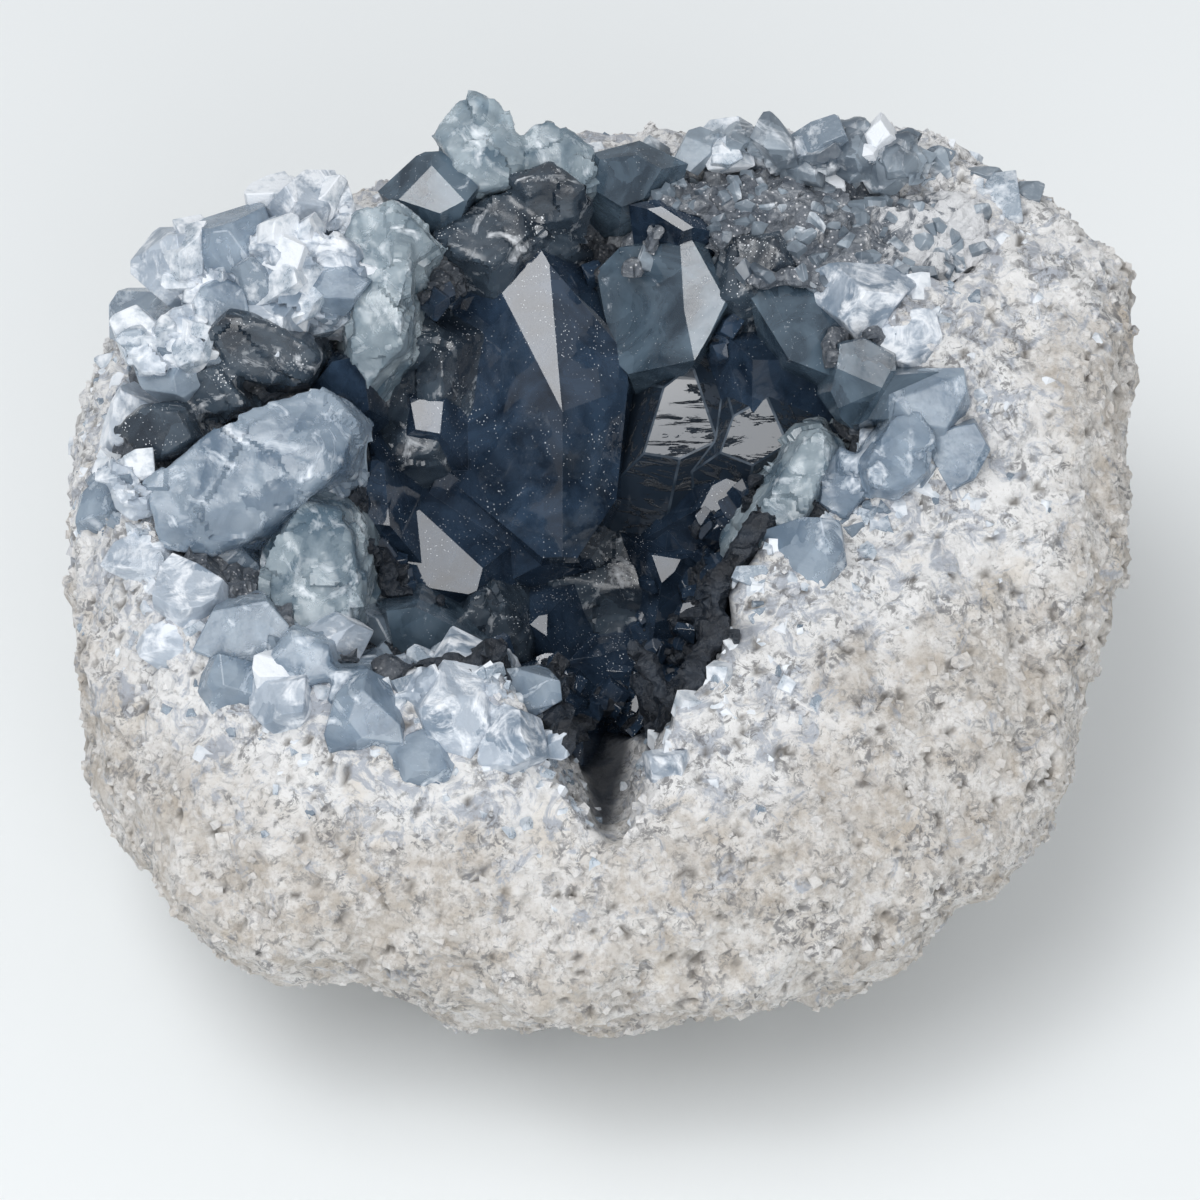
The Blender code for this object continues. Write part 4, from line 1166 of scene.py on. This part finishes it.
def build_faceted(look, name, material, edges, width):
    """One kind of large crystal, sharp faced, with its thin edges in a material of their own."""
    group = welded(united(look, name), 1e-6)
    group = edited(group, bpy.ops.mesh.dissolve_limited, angle_limit=math.radians(0.6))
    group.data.materials.append(material)
    group.data.materials.append(edges)
    settings = {"width": width * MM, "segments": 1, "limit_method": "ANGLE", "angle_limit": math.radians(18)}
    group = modified(group, "BEVEL", material=1, **settings)
    group.data.shade_flat()
    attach(group, BODY)
    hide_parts("crystal_crust")
    return group


def build_broken(look, name, material, size, depth):
    """One kind of large crystal with a broken, uneven surface."""
    group = remeshed(united(look, name), 0.55 * MM)
    group = modified(group, "SMOOTH", factor=0.5, iterations=3)

    def height(point):
        coarse = tilted_cells(point, size) + 0.4 * tilted_cells(point + Vector((3, 8, 1)), 0.5 * size)
        return depth * (coarse + 0.5 * noise.noise(point / 1.6)) - 0.2 * depth

    group = raised(group, height)
    pick(group)
    bpy.ops.object.shade_smooth_by_angle(angle=math.radians(28))
    return finished(group, material, "crystal_crust")


def build_small(name, material, count, spans, seed, sizes, deepest):
    """Small blocky crystals grown on the lining, where its paleness lies between the two spans. Deepest is
    the highest w that they grow at."""
    chance = random.Random(seed)
    bed = bpy.data.objects["crust_bed"].data
    points, normals = points_of(bed), points_of(bed, "normal")
    pale = kept_numbers(bed, "pale")
    seen = seen_from_eye(points)
    order = list(np.nonzero((pale >= spans[0]) & (pale <= spans[1]) & (seen[:, 2] < deepest))[0])
    chance.shuffle(order)
    toward = direction_of(0.0, 0.15, 1.0)
    places, taken = [], []
    for index in order:
        if len(places) == count:
            break
        normal, point = Vector(normals[index]), Vector(points[index])
        if normal.dot(toward) < 0.25:
            continue
        size = chance.uniform(*sizes)
        if any((point - other).length < 0.62 * size * MM for other in taken):
            continue
        aim = normal + random_direction(chance) * 0.5
        spin = Matrix.Rotation(chance.uniform(0, math.pi), 4, "Z")
        turn = aim.to_track_quat("Z", "Y").to_matrix().to_4x4() @ spin
        base = point - normal * 0.24 * size * MM
        places.append(Matrix.Translation(base) @ turn @ Matrix.Scale(size * MM, 4))
        taken.append(point)
    scattered_blocks(name, places, chance, material, 8, 6, (1.0, 0.72, 0.9), 0.02)


# Stage


def lamp(name, energy, size, place, target):
    data = bpy.data.lights.new(name, "AREA")
    data.shape = "DISK"
    data.energy, data.size = energy, size
    obj = linked(name, data)
    obj.location = place
    obj.rotation_euler = (Vector(place) - Vector(target)).to_track_quat("Z", "Y").to_euler()


def build_stage(settings):
    deselect()
    bpy.ops.mesh.primitive_plane_add(size=6.0)
    floor = bpy.context.object
    floor.name = "floor"
    floor.data.materials.append(floor_material(settings))
    world = bpy.data.worlds.new("studio")
    world.use_nodes = True
    bpy.context.scene.world = world
    background = world.node_tree.nodes["Background"]
    background.inputs["Color"].default_value = (0.98, 0.99, 1.0, 1)
    background.inputs["Strength"].default_value = settings.fill
    target = START * MM
    for name in ("key", "overhead", "front"):
        power, size = getattr(settings, f"{name}_power"), getattr(settings, f"{name}_size")
        towards = Vector(getattr(settings, f"{name}_direction")).normalized()
        lamp(name, power, size, target + towards * settings.lamp_distance, target)
    camera = bpy.data.cameras.new("camera")
    camera.sensor_width = 36.0
    camera.lens = camera.sensor_width * EYE_DISTANCE / VIEW_WIDTH
    eye = linked("camera", camera)
    eye.location = target + direction_of(0, 0, 1) * EYE_DISTANCE
    eye.rotation_euler = (math.pi / 2 - EYE_ELEVATION, 0, 0)
    bpy.context.scene.camera = eye
    bpy.context.scene.view_settings.view_transform = "Standard"


# Settings


def colour(name, description, default):
    return FloatVectorProperty(
        name=name, description=description, default=default, subtype="COLOR", size=3, min=0.0, max=1.0
    )


def direction(name, description, default):
    return FloatVectorProperty(name=name, description=description, default=default)


def amount(name, description, default, least=0.0):
    return FloatProperty(name=name, description=description, default=default, min=least)


def length(name, description, default):
    return FloatProperty(name=name, description=description, default=default, unit="LENGTH")


def count(name, description, default):
    return IntProperty(name=name, description=description, default=default, min=0)


class GeodeRockSettings(bpy.types.PropertyGroup):
    voxel: amount("Relief step", "Size of the rock's finest relief, in mm", 0.96, least=0.8)
    grains: count("Grains", "How many grains stand out of the rock", 9000)
    chips: count("Rim chips", "How many small chips lie along the rim", 1800)
    blocks: count("Rim blocks", "How many broken blocks lie along the rim", 240)
    white: colour("White", "Colour of the freshly broken rock", (0.92, 0.92, 0.92))
    powder: colour("Powder", "Colour of the powdery patches", (0.97, 0.97, 0.97))
    beige: colour("Beige skin", "Colour of the weathered outside", (0.58, 0.53, 0.47))
    glassy: colour("Glassy grey", "Colour of the clear grains", (0.20, 0.20, 0.21))
    pale: colour("Ice blue", "Colour of the chips along the rim", (0.60, 0.69, 0.78))


class GeodeCrystalSettings(bpy.types.PropertyGroup):
    navy: colour("Deep blue", "What the deep crystals let through", (0.10, 0.26, 0.46))
    sea: colour("Sea blue", "What the mid crystals let through", (0.40, 0.56, 0.74))
    frost: colour("Frost blue", "What the pale crystals let through", (0.50, 0.66, 0.80))
    navy_depth: amount("Deep absorption", "Per metre of crystal", 60.0)
    sea_depth: amount("Mid absorption", "Per metre of crystal", 40.0)
    frost_depth: amount("Pale absorption", "Per metre of crystal", 25.0)
    small_dark: count("Small dark crystals", "How many", 130)
    small_pale: count("Small pale crystals", "How many", 110)


class GeodeStageSettings(bpy.types.PropertyGroup):
    floor: colour("Floor", "Colour of the floor", (0.83, 0.86, 0.875))
    fill: amount("Fill light", "Strength of the light from all round", 0.50)
    lamp_distance: length("Lamp distance", "From the lump", 2.0)
    key_power: amount("Key power", "Power of the key lamp, in watts", 7.5)
    key_size: length("Key size", "Width of the key lamp", 1.1)
    key_direction: direction("Key direction", "Towards the key lamp", (-0.32, -0.08, 0.94))
    overhead_power: amount("Overhead power", "Of the lamp that the bright faces mirror, in watts", 14.0)
    overhead_size: length("Overhead size", "Width of that lamp", 1.2)
    overhead_direction: direction("Overhead direction", "Towards that lamp", (-0.29, -0.38, 0.88))
    front_power: amount("Front power", "Of the low lamp in front, in watts", 14.0)
    front_size: length("Front size", "Width of the front lamp", 1.2)
    front_direction: direction("Front direction", "Towards the front lamp", (0.15, -0.85, 0.42))


# Operators


class GEODE_OT_rock(bpy.types.Operator):
    """Build the lump of broken rock"""

    bl_idname = "geode.rock"
    bl_label = "Rock"

    def execute(self, context):
        build_rock(context.scene.geode_rock)
        return {"FINISHED"}


class GEODE_OT_grains(bpy.types.Operator):
    """Scatter grains over the rock"""

    bl_idname = "geode.grains"
    bl_label = "Rock grains"

    def execute(self, context):
        build_grains(context.scene.geode_rock)
        return {"FINISHED"}


class GEODE_OT_chips(bpy.types.Operator):
    """Set broken chips and blocks of crystal along the rim"""

    bl_idname = "geode.chips"
    bl_label = "Rim chips"

    def execute(self, context):
        build_chips(context.scene.geode_rock)
        build_rim_crystals("rim_crystals", RIM_CRYSTALS[::2], "frosted_crystal")
        build_rim_crystals("rim_milky_crystals", RIM_CRYSTALS[1::2], "milky_crystal")
        build_rim_crystals("back_crystals", BACK_CRYSTALS, "ridge_crystal")
        return {"FINISHED"}


class GEODE_OT_bed(bpy.types.Operator):
    """Build the lining that the crystals grow on"""

    bl_idname = "geode.bed"
    bl_label = "Crust bed"

    def execute(self, context):
        build_bed()
        return {"FINISHED"}


class GEODE_OT_crystals(bpy.types.Operator):
    """Build the large crystals, kind by kind"""

    bl_idname = "geode.crystals"
    bl_label = "Large crystals"

    def execute(self, context):
        s = context.scene.geode_crystal
        dark_edge = edge_material("dark_edges", (0.025, 0.04, 0.06), (0.11, 0.14, 0.18))
        pale_edge = edge_material("pale_edges", (0.22, 0.29, 0.34), (0.72, 0.78, 0.82))
        for name, dark, light, lets, depth, *rest in CRYSTAL_MATERIALS:
            crystal_material(name, dark, light, tuple(getattr(s, lets)), getattr(s, depth), *rest)
        ribbed_material("ribbed_crystal", tuple(s.navy), s.navy_depth)
        made = bpy.data.materials
        build_faceted("navy", "deep_crystals", made["deep_crystal"], dark_edge, 0.2)
        build_broken("slate", "slate_crystals", made["slate_crystal"], 7.0, 0.2)
        build_faceted("sea", "sea_crystals", made["sea_crystal"], pale_edge, 0.25)
        build_faceted("ribbed", "ribbed_crystals", made["ribbed_crystal"], dark_edge, 0.2)
        build_broken("mint", "mint_crystals", made["mint_crystal"], 6.5, 0.36)
        build_broken("frost", "frosted_crystals", made["frosted_crystal"], 9.0, 0.22)
        build_broken("ridge", "ridge_crystals", made["ridge_crystal"], 4.6, 0.7)
        build_broken("milk", "milky_crystals", made["milky_crystal"], 5.5, 0.8)
        return {"FINISHED"}


class GEODE_OT_small(bpy.types.Operator):
    """Grow small crystals over the lining"""

    bl_idname = "geode.small"
    bl_label = "Small crystals"

    def execute(self, context):
        s = context.scene.geode_crystal
        dark, pale = bpy.data.materials["deep_crystal"], bpy.data.materials["ridge_crystal"]
        build_small("small_dark_crystals", dark, s.small_dark, (0.0, 0.2), 3, (2.0, 4.6), 8.0)
        build_small("small_pale_crystals", pale, s.small_pale, (0.75, 1.0), 4, (1.5, 3.4), 40.0)
        return {"FINISHED"}


class GEODE_OT_stage(bpy.types.Operator):
    """Add the floor, the light and the camera"""

    bl_idname = "geode.stage"
    bl_label = "Stage"

    def execute(self, context):
        build_stage(context.scene.geode_stage)
        return {"FINISHED"}


OPERATORS = (
    GEODE_OT_stage,
    GEODE_OT_rock,
    GEODE_OT_grains,
    GEODE_OT_chips,
    GEODE_OT_bed,
    GEODE_OT_crystals,
    GEODE_OT_small,
)


class GEODE_PT_panel(bpy.types.Panel):
    """The geode's settings and build steps"""

    bl_label = "Celestite Geode"
    bl_idname = "GEODE_PT_panel"
    bl_space_type = "VIEW_3D"
    bl_region_type = "UI"
    bl_category = "Geode"

    def draw(self, context):
        for name in SETTINGS:
            box = self.layout.box()
            group = getattr(context.scene, name)
            for key in type(group).__annotations__:
                box.prop(group, key)
        for operator in OPERATORS:
            self.layout.operator(operator.bl_idname)


SETTINGS = {
    "geode_rock": GeodeRockSettings,
    "geode_crystal": GeodeCrystalSettings,
    "geode_stage": GeodeStageSettings,
}


def register():
    for cls in (*SETTINGS.values(), *OPERATORS, GEODE_PT_panel):
        bpy.utils.register_class(cls)
    for name, group in SETTINGS.items():
        setattr(bpy.types.Scene, name, PointerProperty(type=group))


def unregister():
    for name in SETTINGS:
        delattr(bpy.types.Scene, name)
    for cls in (GEODE_PT_panel, *reversed(OPERATORS), *reversed(SETTINGS.values())):
        bpy.utils.unregister_class(cls)


def main():
    register()
    bpy.ops.geode.stage()
    bpy.ops.geode.rock()
    bpy.ops.geode.grains()
    bpy.ops.geode.bed()
    bpy.ops.geode.crystals()
    bpy.ops.geode.chips()
    bpy.ops.geode.small()
    deselect()


if __name__ == "__main__":
    main()
